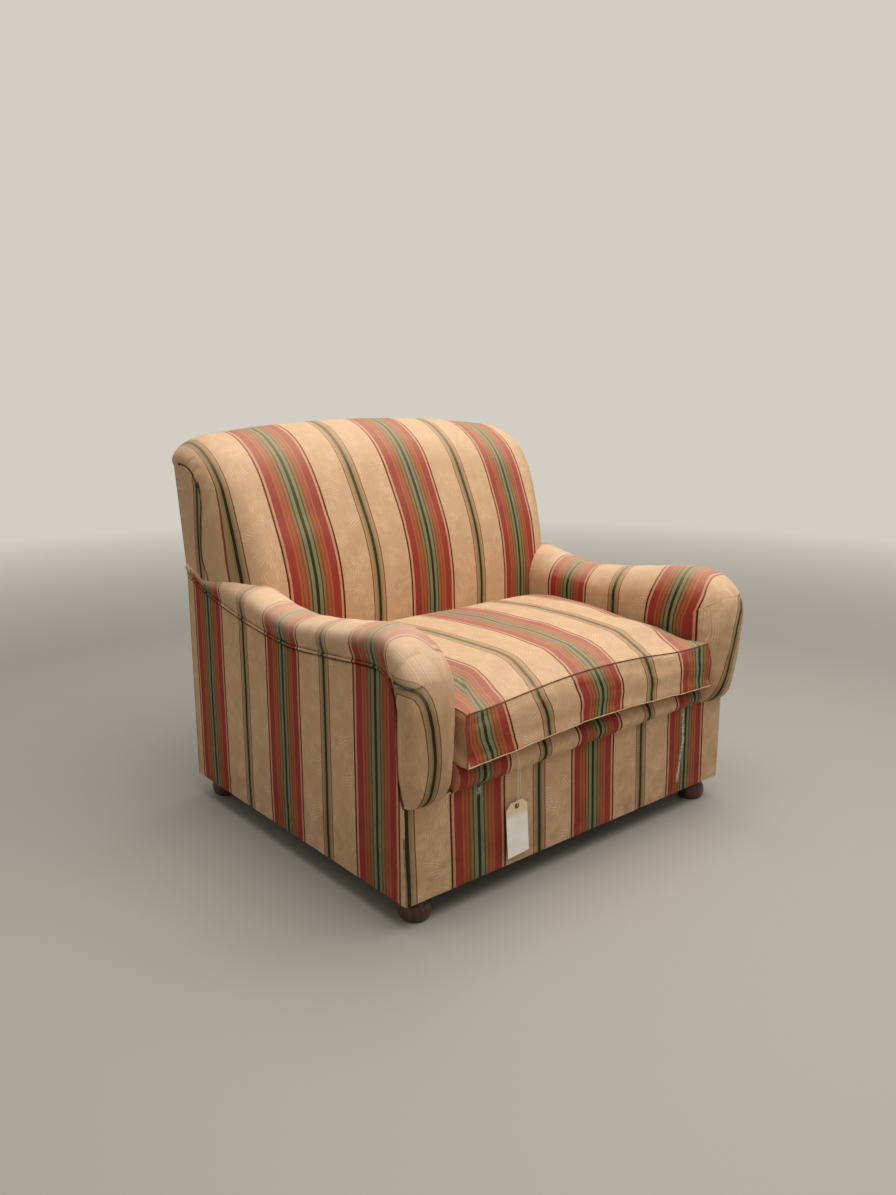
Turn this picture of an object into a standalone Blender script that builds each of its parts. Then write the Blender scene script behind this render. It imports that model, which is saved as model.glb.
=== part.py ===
"""Sagging striped club armchair: beech frame, coil-sprung seat, stuffed rolled arms and a scrolled back.

Metres, +Z up. The chair faces -Y, stands on the plane Z = 0 and is centred on X = 0 and Y = 0.
Left and right are as seen by someone who stands in front of the chair.
"""

import math

import bmesh
import bpy

# Clearance between pieces that touch
GAP = 0.0003

# Upholstered base
BASE_WIDTH = 1.000
BASE_DEPTH = 0.865
FOOT_HEIGHT = 0.054
APRON_HEIGHT = 0.204
PANEL_THICKNESS = 0.003
BOTTOM_CLOTH_THICKNESS = 0.0015

# Wooden frame
RAIL_THICKNESS = 0.033
RAIL_TOP_DROP = 0.001
CORNER_BLOCK_SIDE = 0.045
CORNER_BLOCK_HEIGHT = 0.062
ARM_POST_DEPTH = 0.045
ARM_RAIL_THICKNESS = 0.030
ARM_RAIL_HEIGHT = 0.227
TACKING_RAIL_WIDTH = 0.020
TACKING_RAIL_HEIGHT = 0.026
BACK_POST_WIDTH = 0.045
BACK_POST_DEPTH = 0.0557
BACK_RAIL_DEPTH = 0.027
LOWER_BACK_RAIL_RISE = 0.045
LOWER_BACK_RAIL_HEIGHT = 0.050
TOP_BACK_RAIL_HEIGHT = 0.045
EDGE_ROUND = 0.002

# Turned feet
FOOT_INSET_X = 0.053
FOOT_INSET_Y = 0.042
FOOT_BASE_RADIUS = 0.025
FOOT_BUN_RADIUS = 0.035
FOOT_NECK_RADIUS = 0.024
FOOT_COLLAR_RADIUS = 0.029
FOOT_COLLAR_HEIGHT = 0.006
FOOT_NECK_HEIGHT = 0.0054
# Latitudes of the bun where it meets the floor and the neck, in degrees
FOOT_BUN_LOW = -55
FOOT_BUN_HIGH = 60
FOOT_BUN_STEPS = 8
FOOT_TURN_STEPS = 20
FOOT_HOLE_CLEARANCE = 0.001

# Webbing, springs and canvas
STRAP_WIDTH = 0.050
STRAP_THICKNESS = 0.002
STRAPS_EACH_WAY = 5
STRAP_LAP = 0.012
# Distance from the frame to the middle of the outermost straps: across, front to back, and in the back
SEAT_STRAP_SIDE_MARGIN = 0.2034
SEAT_STRAP_END_MARGIN = 0.1662
BACK_STRAP_SIDE_MARGIN = 0.098
BACK_STRAP_END_MARGIN = 0.043
BACK_STRAP_OVER_ARM = 0.044
BACK_STRAP_LAP = 0.022
BACK_STRAPS_OVER_ARMS = 3
SPRING_WIRE_RADIUS = 0.0019
SPRING_END_RADIUS = 0.044
SPRING_WAIST_RADIUS = 0.031
SPRING_TURNS = 4.5
SPRING_POINTS_PER_TURN = 8
SPRING_END_FLATNESS = 0.8
CANVAS_THICKNESS = 0.0015
CANVAS_LAP = 0.012

# Seat platform and loose cushion
DECK_THICKNESS = 0.0467
LIP_HEIGHT = 0.0604
LIP_OVERHANG = 0.0205
# Front of the lip from bottom to top: shares of its overhang and of its height
LIP_LINE = (
    (0.00, 0.00),
    (0.65, 0.12),
    (0.95, 0.32),
    (1.00, 0.50),
    (0.85, 0.72),
    (0.45, 0.90),
    (-0.30, 1.00),
    (-1.60, 0.96),
)
LIP_BLEND_SHARE = 3.5
CUSHION_SIDE_CLEARANCE = 0.0015
CUSHION_FRONT_OVERHANG = 0.0415
CUSHION_BORDER = 0.100
CUSHION_CROWN = 0.046
CUSHION_FRONT_ARCH = 0.018
CUSHION_FRONT_BULGE = 0.012
CUSHION_BOTTOM_ARCH = 0.012
CUSHION_REAR_SLUMP = 0.35
CUSHION_CUTS = 7

# Arms: thickness across, padding inside, and the roll along the top and down the front
ARM_THICKNESS = 0.116
INSIDE_ARM_PAD = 0.0157
ARM_FRONT_SETBACK = 0.0325
ROLL_SQUARENESS = 0.6
ROLL_INNER_SQUARENESS = 0.85
ROLL_INNER_SLOPE = 0.45
ROLL_ARC_STEPS = 12
# Seam under the roll from back to front: share of the half depth, rise over the arm rail, fullness, side bulge
ROLL_LINE = (
    (0.791, 0.062, 0.032, 0.009),
    (0.694, 0.052, 0.044, 0.011),
    (0.564, 0.041, 0.055, 0.012),
    (0.349, 0.025, 0.060, 0.013),
    (0.118, 0.013, 0.058, 0.013),
    (-0.092, 0.007, 0.060, 0.013),
    (-0.317, 0.013, 0.062, 0.013),
    (-0.527, 0.021, 0.066, 0.014),
    (-0.684, 0.028, 0.070, 0.015),
    (-0.798, 0.031, 0.074, 0.017),
)
ROLL_REAR_RISE = 0.090
ROLL_REAR_FULLNESS = 0.026
ROLL_REAR_BULGE = 0.008
# Turn of the roll over the arm front: setback from the facing seam, drop below its top, lean, fullness, bulge
NOSE_LINE = (
    (0.038, 0.007, 25, 0.079, 0.020),
    (0.020, 0.021, 45, 0.083, 0.023),
    (0.008, 0.040, 66, 0.083, 0.024),
    (0.002, 0.068, 82, 0.080, 0.022),
)
NOSE_TOP_RISE = 0.033
# Facing down to the apron: share of the drop to the apron seam, setback, fullness, bulge
FACING_LINE = (
    (0.78, 0.000, 0.076, 0.015),
    (0.50, 0.000, 0.071, 0.012),
    (0.25, -0.003, 0.062, 0.007),
    (0.10, -0.009, 0.046, 0.003),
    (0.00, -0.019, 0.018, 0.001),
)
FACING_SEAM_SETBACK = 0.0225

# Back: profile of the stuffed inside face, as depth in front of the frame and share of the crest's height
CREST_DEPTH = 0.0341
CREST_HEIGHT = 0.6769
BACK_FRONT_LINE = (
    (0.2406, 0.000),
    (0.2406, 0.177),
    (0.2350, 0.266),
    (0.2335, 0.355),
    (0.2300, 0.428),
    (0.2200, 0.511),
    (0.2030, 0.607),
    (0.1810, 0.696),
    (0.1560, 0.784),
    (0.1280, 0.863),
    (0.0900, 0.926),
    (0.0410, 0.9735),
    (-0.0041, 0.9957),
)
# The crest drops towards the sides from this point of the profile upward
CREST_DROP_POINT = 5
# Scroll over the top rail, and the line under it, as depth behind the frame and drop below the crest
SCROLL_LINE = (
    (0.068, 0.006),
    (0.095, 0.024),
    (0.111, 0.048),
    (0.1163, 0.070),
    (0.1130, 0.084),
)
SCROLL_UNDERSIDE = ((0.1030, 0.0936), (0.0316, 0.1030), (0.0, 0.1360))
SCROLL_CLEARANCE = 0.0006
CREST_ARCH = 0.146
BACK_EDGE_ROUND = 0.080
BACK_EDGE_KEEP = 0.30
BACK_FLARE = 0.04
BACK_FLARE_START = 0.32
BACK_FLARE_LENGTH = 0.28
BACK_MIDDLE_STATIONS = 8
BACK_EDGE_SHARES = (0.0, 0.35, 0.6, 0.8, 0.93, 1.0)
ARM_CUT_REAR = 0.050
RAKE_START = 0.311
RAKE_TOP_SHIFT = 0.041

# Hang tag on its doubled string
TAG_WIDTH = 0.060
TAG_LENGTH = 0.121
TAG_THICKNESS = 0.0008
TAG_CORNER_CUT = 0.013
TAG_EYE_INSET = 0.010
TAG_EYE_X = -0.2190
TAG_EYE_Z = 0.1850
TAG_STANDOFF = 0.0085
TAG_TILT_DEGREES = 4.0
TAG_HOLE_RADIUS = 0.0022
EYELET_RADIUS = 0.0058
EYELET_HOLE_RADIUS = 0.0020
EYELET_THICKNESS = 0.0006
STRING_RADIUS = 0.0006

# Levels and planes worked out from the sizes above
HALF_WIDTH = BASE_WIDTH / 2
HALF_DEPTH = BASE_DEPTH / 2
X_FRAME = HALF_WIDTH - PANEL_THICKNESS - GAP
Y_FRAME = HALF_DEPTH - PANEL_THICKNESS - GAP
Z_WEBBING = FOOT_HEIGHT + BOTTOM_CLOTH_THICKNESS + GAP
Z_FRAME = Z_WEBBING + STRAP_THICKNESS + GAP
Z_APRON = FOOT_HEIGHT + APRON_HEIGHT
Z_RAIL_TOP = Z_APRON - RAIL_TOP_DROP
Z_CANVAS = Z_RAIL_TOP + GAP
Z_DECK = Z_CANVAS + CANVAS_THICKNESS + GAP
Z_CUSHION = Z_DECK + LIP_HEIGHT + GAP
Z_ARM_RAIL = Z_APRON + ARM_RAIL_HEIGHT
Z_CREST = Z_DECK + CREST_HEIGHT
X_ARM_INSIDE = HALF_WIDTH - ARM_THICKNESS
X_ARM_FRAME = X_ARM_INSIDE + INSIDE_ARM_PAD + GAP
Y_ARM_POST = HALF_DEPTH - ARM_FRONT_SETBACK
Y_BACK_POST = Y_FRAME - BACK_POST_DEPTH
Y_BACK_PAD = Y_BACK_POST - GAP - STRAP_THICKNESS - GAP
X_BACK_POST = X_FRAME - RAIL_THICKNESS - 2 * GAP
X_BACK_RAIL = X_BACK_POST - BACK_POST_WIDTH - GAP
Y_FACING_SEAM = HALF_DEPTH - FACING_SEAM_SETBACK

SIDES = (("left", -1), ("right", 1))


def clear_scene():
    for old in list(bpy.data.objects):
        bpy.data.objects.remove(old, do_unlink=True)


def make_collection(name):
    collection = bpy.data.collections.new(name)
    bpy.context.scene.collection.children.link(collection)
    return collection


def make_material(name, colour, roughness, metallic=0.0):
    material = bpy.data.materials.new(name)
    material.use_nodes = True
    shader = material.node_tree.nodes["Principled BSDF"]
    shader.inputs["Base Color"].default_value = (*colour, 1.0)
    shader.inputs["Roughness"].default_value = roughness
    shader.inputs["Metallic"].default_value = metallic
    material.diffuse_color = (*colour, 1.0)
    return material


def add_object(name, data, material, collection):
    data.materials.append(material)
    piece = bpy.data.objects.new(name, data)
    collection.objects.link(piece)
    return piece


def add_mesh(name, bm, material, collection, smooth_angle=None):
    bmesh.ops.recalc_face_normals(bm, faces=bm.faces)
    mesh = bpy.data.meshes.new(name)
    bm.to_mesh(mesh)
    bm.free()
    if smooth_angle is not None:
        mesh.shade_smooth()
        mesh.set_sharp_from_angle(angle=math.radians(smooth_angle))
    return add_object(name, mesh, material, collection)


def box(name, low, high, material, collection):
    """A board between two opposite corners, with softened edges."""
    bm = bmesh.new()
    bmesh.ops.create_cube(bm, size=1.0)
    for vertex in bm.verts:
        for axis in range(3):
            vertex.co[axis] = low[axis] if vertex.co[axis] < 0 else high[axis]
    piece = add_mesh(name, bm, material, collection)
    bevel = piece.modifiers.new("softened edges", "BEVEL")
    bevel.width = EDGE_ROUND
    bevel.segments = 1
    return piece


def mirrored_box(name, side, low, high, material, collection):
    """A board given for the right-hand side, placed on either side."""
    xs = sorted((side * low[0], side * high[0]))
    return box(name, (xs[0], low[1], low[2]), (xs[1], high[1], high[2]), material, collection)


def plate(name, outlines, thickness, material, collection, turn=(0.0, 0.0, 0.0), place=(0.0, 0.0, 0.0)):
    """A flat piece from closed outlines; those after the first are holes. It is centred on its own plane."""
    curve = bpy.data.curves.new(name, "CURVE")
    curve.dimensions = "2D"
    curve.fill_mode = "BOTH"
    curve.extrude = thickness / 2
    for outline in outlines:
        spline = curve.splines.new("POLY")
        spline.points.add(len(outline) - 1)
        for point, (u, v) in zip(spline.points, outline):
            point.co = (u, v, 0.0, 1.0)
        spline.use_cyclic_u = True
    piece = add_object(name, curve, material, collection)
    piece.rotation_euler = turn
    piece.location = place
    return piece


def side_plate(name, outline, x_low, x_high, material, collection):
    """A flat piece whose outline is drawn in Y and Z, standing between two values of X."""
    quarter = math.pi / 2
    middle = (x_low + x_high) / 2
    return plate(name, [outline], abs(x_high - x_low), material, collection, (quarter, 0.0, quarter), (middle, 0.0, 0.0))


def circle(radius, steps, centre=(0.0, 0.0)):
    turns = (2 * math.pi * step / steps for step in range(steps))
    return [(centre[0] + radius * math.cos(t), centre[1] + radius * math.sin(t)) for t in turns]


def loft(name, rings, material, collection, smooth_angle=40):
    """A closed body through rings of equal length."""
    bm = bmesh.new()
    rows = [[bm.verts.new(point) for point in ring] for ring in rings]
    count = len(rows[0])
    for row, following in zip(rows, rows[1:]):
        for index in range(count):
            beside = (index + 1) % count
            bm.faces.new((row[index], row[beside], following[beside], following[index]))
    bm.faces.new(rows[0])
    bm.faces.new(rows[-1])
    return add_mesh(name, bm, material, collection, smooth_angle)


def interpolate(table, value):
    """Straight-line reading of a table of pairs sorted by its first column."""
    if value <= table[0][0]:
        return table[0][1]
    for (low, start), (high, end) in zip(table, table[1:]):
        if value <= high:
            return start + (end - start) * (value - low) / (high - low)
    return table[-1][1]


# Wooden frame


def build_seat_frame(wood, collection):
    inner = X_FRAME - RAIL_THICKNESS
    front = (-Y_FRAME, -Y_FRAME + RAIL_THICKNESS)
    box("front_rail", (-inner + GAP, front[0], Z_FRAME), (inner - GAP, front[1], Z_RAIL_TOP), wood, collection)
    box(
        "back_rail",
        (-X_BACK_RAIL, Y_FRAME - RAIL_THICKNESS, Z_FRAME),
        (X_BACK_RAIL, Y_FRAME, Z_RAIL_TOP),
        wood,
        collection,
    )
    for name, side in SIDES:
        mirrored_box(
            name + "_side_rail", side, (inner, -Y_FRAME, Z_FRAME), (X_FRAME, Y_FRAME, Z_RAIL_TOP), wood, collection
        )
        outer = inner - GAP
        for end, low in (("front", front[1] + GAP), ("back", Y_BACK_POST - GAP - CORNER_BLOCK_SIDE)):
            mirrored_box(
                f"{end}_{name}_corner_block",
                side,
                (outer - CORNER_BLOCK_SIDE, low, Z_FRAME),
                (outer, low + CORNER_BLOCK_SIDE, Z_FRAME + CORNER_BLOCK_HEIGHT),
                wood,
                collection,
            )


def build_arm_frame(wood, collection):
    y_post_back = -Y_ARM_POST + ARM_POST_DEPTH
    for name, side in SIDES:
        rail_bottom = Z_ARM_RAIL - ARM_RAIL_THICKNESS
        mirrored_box(
            name + "_arm_post",
            side,
            (X_ARM_FRAME, -Y_ARM_POST, Z_CANVAS),
            (X_FRAME, y_post_back, rail_bottom - GAP),
            wood,
            collection,
        )
        mirrored_box(
            name + "_arm_rail",
            side,
            (X_ARM_FRAME, -Y_ARM_POST, rail_bottom),
            (X_FRAME, Y_BACK_POST - GAP, Z_ARM_RAIL),
            wood,
            collection,
        )
        mirrored_box(
            name + "_tacking_rail",
            side,
            (X_ARM_FRAME, y_post_back + GAP, Z_DECK),
            (X_ARM_FRAME + TACKING_RAIL_WIDTH, Y_BACK_POST - GAP, Z_DECK + TACKING_RAIL_HEIGHT),
            wood,
            collection,
        )


def scroll_seat():
    """The line in Y and Z under the scroll, from rear to front, on which the back frame ends."""
    return [(Y_BACK_PAD + depth, Z_CREST - below) for depth, below in SCROLL_UNDERSIDE]


def raked_back(y_foot):
    """Rear edge of the back in Y and Z, from where the rake starts to under the scroll."""
    top = scroll_seat()[0][1] - SCROLL_CLEARANCE
    return [(y_foot, Z_DECK + RAKE_START), (y_foot + RAKE_TOP_SHIFT, top - SCROLL_CLEARANCE)]


def frame_top(y_front):
    """Top edge of a back frame piece in Y and Z, from rear to front."""
    middle, front = scroll_seat()[1:]
    return [(middle[0], middle[1] - 2 * SCROLL_CLEARANCE), (y_front, front[1] - SCROLL_CLEARANCE)]


def build_back_frame(wood, collection):
    outline = [(Y_BACK_POST, Z_FRAME), (Y_FRAME, Z_FRAME), *raked_back(Y_FRAME), *frame_top(Y_BACK_POST)]
    for name, side in SIDES:
        x_low, x_high = sorted((side * (X_BACK_POST - BACK_POST_WIDTH), side * X_BACK_POST))
        side_plate(name + "_back_post", outline, x_low, x_high, wood, collection)
    rail_low = Z_DECK + LOWER_BACK_RAIL_RISE
    box(
        "lower_back_rail",
        (-X_BACK_RAIL, Y_BACK_POST, rail_low),
        (X_BACK_RAIL, Y_BACK_POST + BACK_RAIL_DEPTH, rail_low + LOWER_BACK_RAIL_HEIGHT),
        wood,
        collection,
    )
    top = frame_top(Y_BACK_POST)
    rail_bottom = top[1][1] - TOP_BACK_RAIL_HEIGHT
    rake_start, rake_end = raked_back(Y_FRAME)
    rake = [(rake_start[1], rake_start[0]), (rake_end[1], rake_end[0])]
    outline = [(Y_BACK_POST, rail_bottom), (interpolate(rake, rail_bottom), rail_bottom), rake_end, *top]
    side_plate("top_back_rail", outline, -X_BACK_RAIL, X_BACK_RAIL, wood, collection)


def build_feet(wood, collection):
    """Turned bun feet; each profile runs down the outside from the collar to the floor."""
    collar_top = Z_FRAME - GAP
    profile = [(0.0, collar_top), (FOOT_COLLAR_RADIUS, collar_top)]
    collar_bottom = FOOT_HEIGHT - FOOT_COLLAR_HEIGHT
    bun_height = collar_bottom - FOOT_NECK_HEIGHT
    profile += [(FOOT_COLLAR_RADIUS, collar_bottom), (FOOT_NECK_RADIUS, bun_height)]
    low, high = math.radians(FOOT_BUN_LOW), math.radians(FOOT_BUN_HIGH)
    for step in range(FOOT_BUN_STEPS - 1):
        angle = high + (low - high) * step / (FOOT_BUN_STEPS - 1)
        swell = FOOT_NECK_RADIUS + (FOOT_BUN_RADIUS - FOOT_NECK_RADIUS) * math.cos(angle)
        share = (math.sin(angle) - math.sin(low)) / (math.sin(high) - math.sin(low))
        profile.append((swell, bun_height * share))
    profile.append((FOOT_BASE_RADIUS, 0.0))
    profile.append((0.0, 0.0))
    for end, y_sign in (("front", -1), ("back", 1)):
        for name, side in SIDES:
            bm = bmesh.new()
            line = [bm.verts.new((radius, 0.0, height)) for radius, height in profile]
            for start, stop in zip(line, line[1:]):
                bm.edges.new((start, stop))
            foot = add_mesh(f"{end}_{name}_foot", bm, wood, collection)
            foot.location = (side * (HALF_WIDTH - FOOT_INSET_X), y_sign * (HALF_DEPTH - FOOT_INSET_Y), 0.0)
            screw = foot.modifiers.new("turned", "SCREW")
            screw.steps = FOOT_TURN_STEPS
            screw.render_steps = FOOT_TURN_STEPS
            screw.use_merge_vertices = True
            screw.merge_threshold = 0.00001
            screw.use_smooth_shade = True


# Webbing, springs and canvas


def strap_edges(centres, low, high):
    """Cell borders along one direction, with which of the cells are strap."""
    borders = [low]
    is_strap = []
    for centre in centres:
        borders += [centre - STRAP_WIDTH / 2, centre + STRAP_WIDTH / 2]
        is_strap += [False, True]
    borders.append(high)
    is_strap.append(False)
    return borders, is_strap


def webbing(name, columns, rows, place, fabric, collection):
    """Crossing straps as one sheet with open squares; place turns a cell corner into a point."""
    u_borders, u_straps = columns
    v_borders, v_straps = rows
    bm = bmesh.new()
    corners = [[None] * len(v_borders) for _ in u_borders]
    for i, u_is_strap in enumerate(u_straps):
        for j, v_is_strap in enumerate(v_straps):
            if not (u_is_strap or v_is_strap):
                continue
            face = []
            for a, b in ((i, j), (i + 1, j), (i + 1, j + 1), (i, j + 1)):
                if corners[a][b] is None:
                    corners[a][b] = bm.verts.new(place(u_borders[a], v_borders[b]))
                face.append(corners[a][b])
            bm.faces.new(face)
    piece = add_mesh(name, bm, fabric, collection)
    thickness = piece.modifiers.new("strap thickness", "SOLIDIFY")
    thickness.thickness = STRAP_THICKNESS
    thickness.offset = 0.0
    return piece


def spread(low, high, count):
    """Evenly spaced places from low to high."""
    return [low + (high - low) * index / (count - 1) for index in range(count)]


def seat_strap_lines():
    """Middle lines of the seat straps: their X places, then their Y places."""
    x_outer = X_FRAME - RAIL_THICKNESS - SEAT_STRAP_SIDE_MARGIN
    y_outer = Y_FRAME - RAIL_THICKNESS - SEAT_STRAP_END_MARGIN
    return spread(-x_outer, x_outer, STRAPS_EACH_WAY), spread(-y_outer, y_outer, STRAPS_EACH_WAY)


def build_webbing(fabric, collection):
    x_end = X_FRAME - RAIL_THICKNESS + STRAP_LAP
    y_end = Y_FRAME - RAIL_THICKNESS + STRAP_LAP
    z_seat = Z_WEBBING + STRAP_THICKNESS / 2
    xs, ys = seat_strap_lines()
    webbing(
        "seat_webbing",
        strap_edges(xs, -x_end, x_end),
        strap_edges(ys, -y_end, y_end),
        lambda u, v: (u, v, z_seat),
        fabric,
        collection,
    )
    y_back = Y_BACK_PAD + GAP + STRAP_THICKNESS / 2
    low = Z_DECK + LOWER_BACK_RAIL_RISE + STRAP_LAP
    high = frame_top(Y_BACK_POST)[1][1] - STRAP_LAP
    x_back = X_BACK_RAIL + BACK_STRAP_LAP
    x_outer = X_BACK_RAIL - BACK_STRAP_SIDE_MARGIN
    over_arms = spread(Z_ARM_RAIL + BACK_STRAP_OVER_ARM, high - BACK_STRAP_END_MARGIN, BACK_STRAPS_OVER_ARMS)
    levels = [low + BACK_STRAP_END_MARGIN, *over_arms]
    webbing(
        "back_webbing",
        strap_edges(spread(-x_outer, x_outer, STRAPS_EACH_WAY), -x_back, x_back),
        strap_edges(levels, low, high),
        lambda u, v: (u, y_back, v),
        fabric,
        collection,
    )


def build_springs(steel, collection):
    """Hourglass coil springs on every second strap crossing, from the webbing up to the canvas."""
    bottom = Z_WEBBING + STRAP_THICKNESS + GAP + SPRING_WIRE_RADIUS
    height = Z_CANVAS - GAP - SPRING_WIRE_RADIUS - bottom
    count = int(SPRING_TURNS * SPRING_POINTS_PER_TURN)
    xs, ys = seat_strap_lines()
    for row, y in zip(("front", "middle", "back"), ys[::2]):
        for column, x in zip(("left", "centre", "right"), xs[::2]):
            curve = bpy.data.curves.new("seat_spring", "CURVE")
            curve.dimensions = "3D"
            curve.bevel_depth = SPRING_WIRE_RADIUS
            curve.bevel_resolution = 2
            curve.use_fill_caps = True
            spline = curve.splines.new("POLY")
            spline.points.add(count)
            for step, point in enumerate(spline.points):
                share = step / count
                angle = 2 * math.pi * SPRING_TURNS * share
                radius = SPRING_WAIST_RADIUS + (SPRING_END_RADIUS - SPRING_WAIST_RADIUS) * abs(2 * share - 1)
                rise = height * (share - SPRING_END_FLATNESS * math.sin(2 * math.pi * share) / (2 * math.pi))
                point.co = (x + radius * math.cos(angle), y + radius * math.sin(angle), bottom + rise, 1.0)
            add_object(f"{row}_{column}_spring", curve, steel, collection)


def build_canvas(hessian, collection):
    """Hessian over the springs, lapped on the seat rails and cut round the arm and back posts."""
    x_side = X_FRAME - RAIL_THICKNESS + CANVAS_LAP
    x_front = X_ARM_INSIDE - GAP
    y_front = -Y_FRAME + RAIL_THICKNESS - CANVAS_LAP
    y_post = -Y_ARM_POST + ARM_POST_DEPTH + GAP
    y_back_post = Y_BACK_POST - GAP
    y_back = Y_FRAME - RAIL_THICKNESS + CANVAS_LAP
    x_back = X_BACK_RAIL
    half = [
        (x_front, y_front),
        (x_front, y_post),
        (x_side, y_post),
        (x_side, y_back_post),
        (x_back, y_back_post),
        (x_back, y_back),
    ]
    outline = half + [(-x, y) for x, y in reversed(half)]
    z_middle = Z_CANVAS + CANVAS_THICKNESS / 2
    plate("spring_canvas", [outline], CANVAS_THICKNESS, hessian, collection, place=(0.0, 0.0, z_middle))


def build_bottom_cloth(cloth, collection):
    """Dust cover under the seat, with a round hole for each foot."""
    outline = [(-X_FRAME, -Y_FRAME), (X_FRAME, -Y_FRAME), (X_FRAME, Y_FRAME), (-X_FRAME, Y_FRAME)]
    holes = []
    for y_sign in (-1, 1):
        for _, side in SIDES:
            centre = (side * (HALF_WIDTH - FOOT_INSET_X), y_sign * (HALF_DEPTH - FOOT_INSET_Y))
            holes.append(circle(FOOT_COLLAR_RADIUS + FOOT_HOLE_CLEARANCE, 20, centre))
    z_middle = FOOT_HEIGHT + BOTTOM_CLOTH_THICKNESS / 2
    plate("bottom_cloth", [outline, *holes], BOTTOM_CLOTH_THICKNESS, cloth, collection, place=(0.0, 0.0, z_middle))


# Seat


def build_deck(fabric, collection):
    """Stuffed seat platform whose front edge rolls over the front rail."""
    y_back = Y_BACK_PAD - BACK_FRONT_LINE[0][0] - GAP
    y_lip = -HALF_DEPTH
    top = Z_DECK + DECK_THICKNESS
    front = [(y_lip - out * LIP_OVERHANG, Z_DECK + up * LIP_HEIGHT) for out, up in LIP_LINE]
    behind = (y_lip + LIP_BLEND_SHARE * LIP_OVERHANG, top)
    outline = [(y_back, Z_DECK), *front, behind, (y_back, top)]
    half = X_ARM_INSIDE - GAP
    side_plate("seat_deck", outline, -half, half, fabric, collection)


def build_cushion(fabric, collection):
    """Loose box cushion, crowned on top and slumped over the lip."""
    half = X_ARM_INSIDE - CUSHION_SIDE_CLEARANCE
    y_front = -HALF_DEPTH - CUSHION_FRONT_OVERHANG
    y_back = Y_BACK_PAD - BACK_FRONT_LINE[0][0] - GAP
    bm = bmesh.new()
    bmesh.ops.create_cube(bm, size=2.0)
    bmesh.ops.subdivide_edges(bm, edges=bm.edges[:], cuts=CUSHION_CUTS, use_grid_fill=True)
    for vertex in bm.verts:
        a, b, c = vertex.co
        near_front = max(0.0, -b) ** 3
        middle = 1 - a * a
        bottom = Z_CUSHION + CUSHION_BOTTOM_ARCH * near_front * middle
        seam = Z_CUSHION + CUSHION_BORDER + CUSHION_FRONT_ARCH * near_front * middle
        crown = CUSHION_CROWN * (1 - a**4) * (1 - b**4) * (1 - CUSHION_REAR_SLUMP * max(0.0, b))
        height = seam if c > 0 else bottom
        if abs(c) == 1:
            height += crown if c > 0 else 0.0
        else:
            height = bottom + (seam - bottom) * (c + 1) / 2
        y = y_front + (y_back - y_front) * (b + 1) / 2
        if b == -1:
            y -= CUSHION_FRONT_BULGE * (1 - c * c) * (1 - a**6)
        vertex.co = (a * half, y, height)
    add_mesh("seat_cushion", bm, fabric, collection, smooth_angle=50)


# Arms


def facing_seam_y():
    return -Y_FACING_SEAM


def roll_stations():
    """Stations of the roll: seam point, lean in degrees, fullness, bulge, base point and inner edge."""
    base = Z_ARM_RAIL + GAP
    y_front = -Y_ARM_POST - GAP
    beside_post = X_BACK_POST + 2 * GAP
    y_rear = Y_FRAME - GAP
    stations = []
    rise_at = [(share * HALF_DEPTH, rise) for share, rise, _, _ in reversed(ROLL_LINE)]
    rise_at.append((y_rear, ROLL_REAR_RISE))
    full_at = [(share * HALF_DEPTH, full) for share, _, full, _ in reversed(ROLL_LINE)]
    full_at.append((y_rear, ROLL_REAR_FULLNESS))
    rear_places = ((y_rear, beside_post), (Y_BACK_POST - 2 * GAP, beside_post), (Y_BACK_PAD - INSIDE_ARM_PAD, X_ARM_INSIDE))
    for y, inner in rear_places:
        seam = (y, Z_ARM_RAIL + interpolate(rise_at, y))
        full = interpolate(full_at, y)
        stations.append(dict(seam=seam, lean=0, full=full, bulge=ROLL_REAR_BULGE, base=(y, base), inner=inner))
    for share, rise, full, bulge in ROLL_LINE:
        y = share * HALF_DEPTH
        seam = (y, Z_ARM_RAIL + rise)
        stations.append(dict(seam=seam, lean=0, full=full, bulge=bulge, base=(y, base), inner=X_ARM_INSIDE))
    corner_step = ARM_RAIL_THICKNESS / 4
    bases = [
        (y_front + corner_step, base),
        (y_front, base),
        (y_front, base - corner_step),
        (y_front, base - 4 * corner_step),
    ]
    for (setback, drop, lean, full, bulge), foot in zip(NOSE_LINE, bases):
        seam = (facing_seam_y() + setback, Z_ARM_RAIL + NOSE_TOP_RISE - drop)
        stations.append(dict(seam=seam, lean=lean, full=full, bulge=bulge, base=foot, inner=X_ARM_INSIDE))
    top = Z_ARM_RAIL + NOSE_TOP_RISE - NOSE_LINE[-1][1]
    bottom = Z_APRON + GAP
    for share, setback, full, bulge in FACING_LINE:
        z = bottom + (top - bottom) * share
        seam = (facing_seam_y() + setback, z)
        stations.append(dict(seam=seam, lean=90, full=full, bulge=bulge, base=(y_front, z), inner=X_ARM_INSIDE))
    return stations


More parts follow.
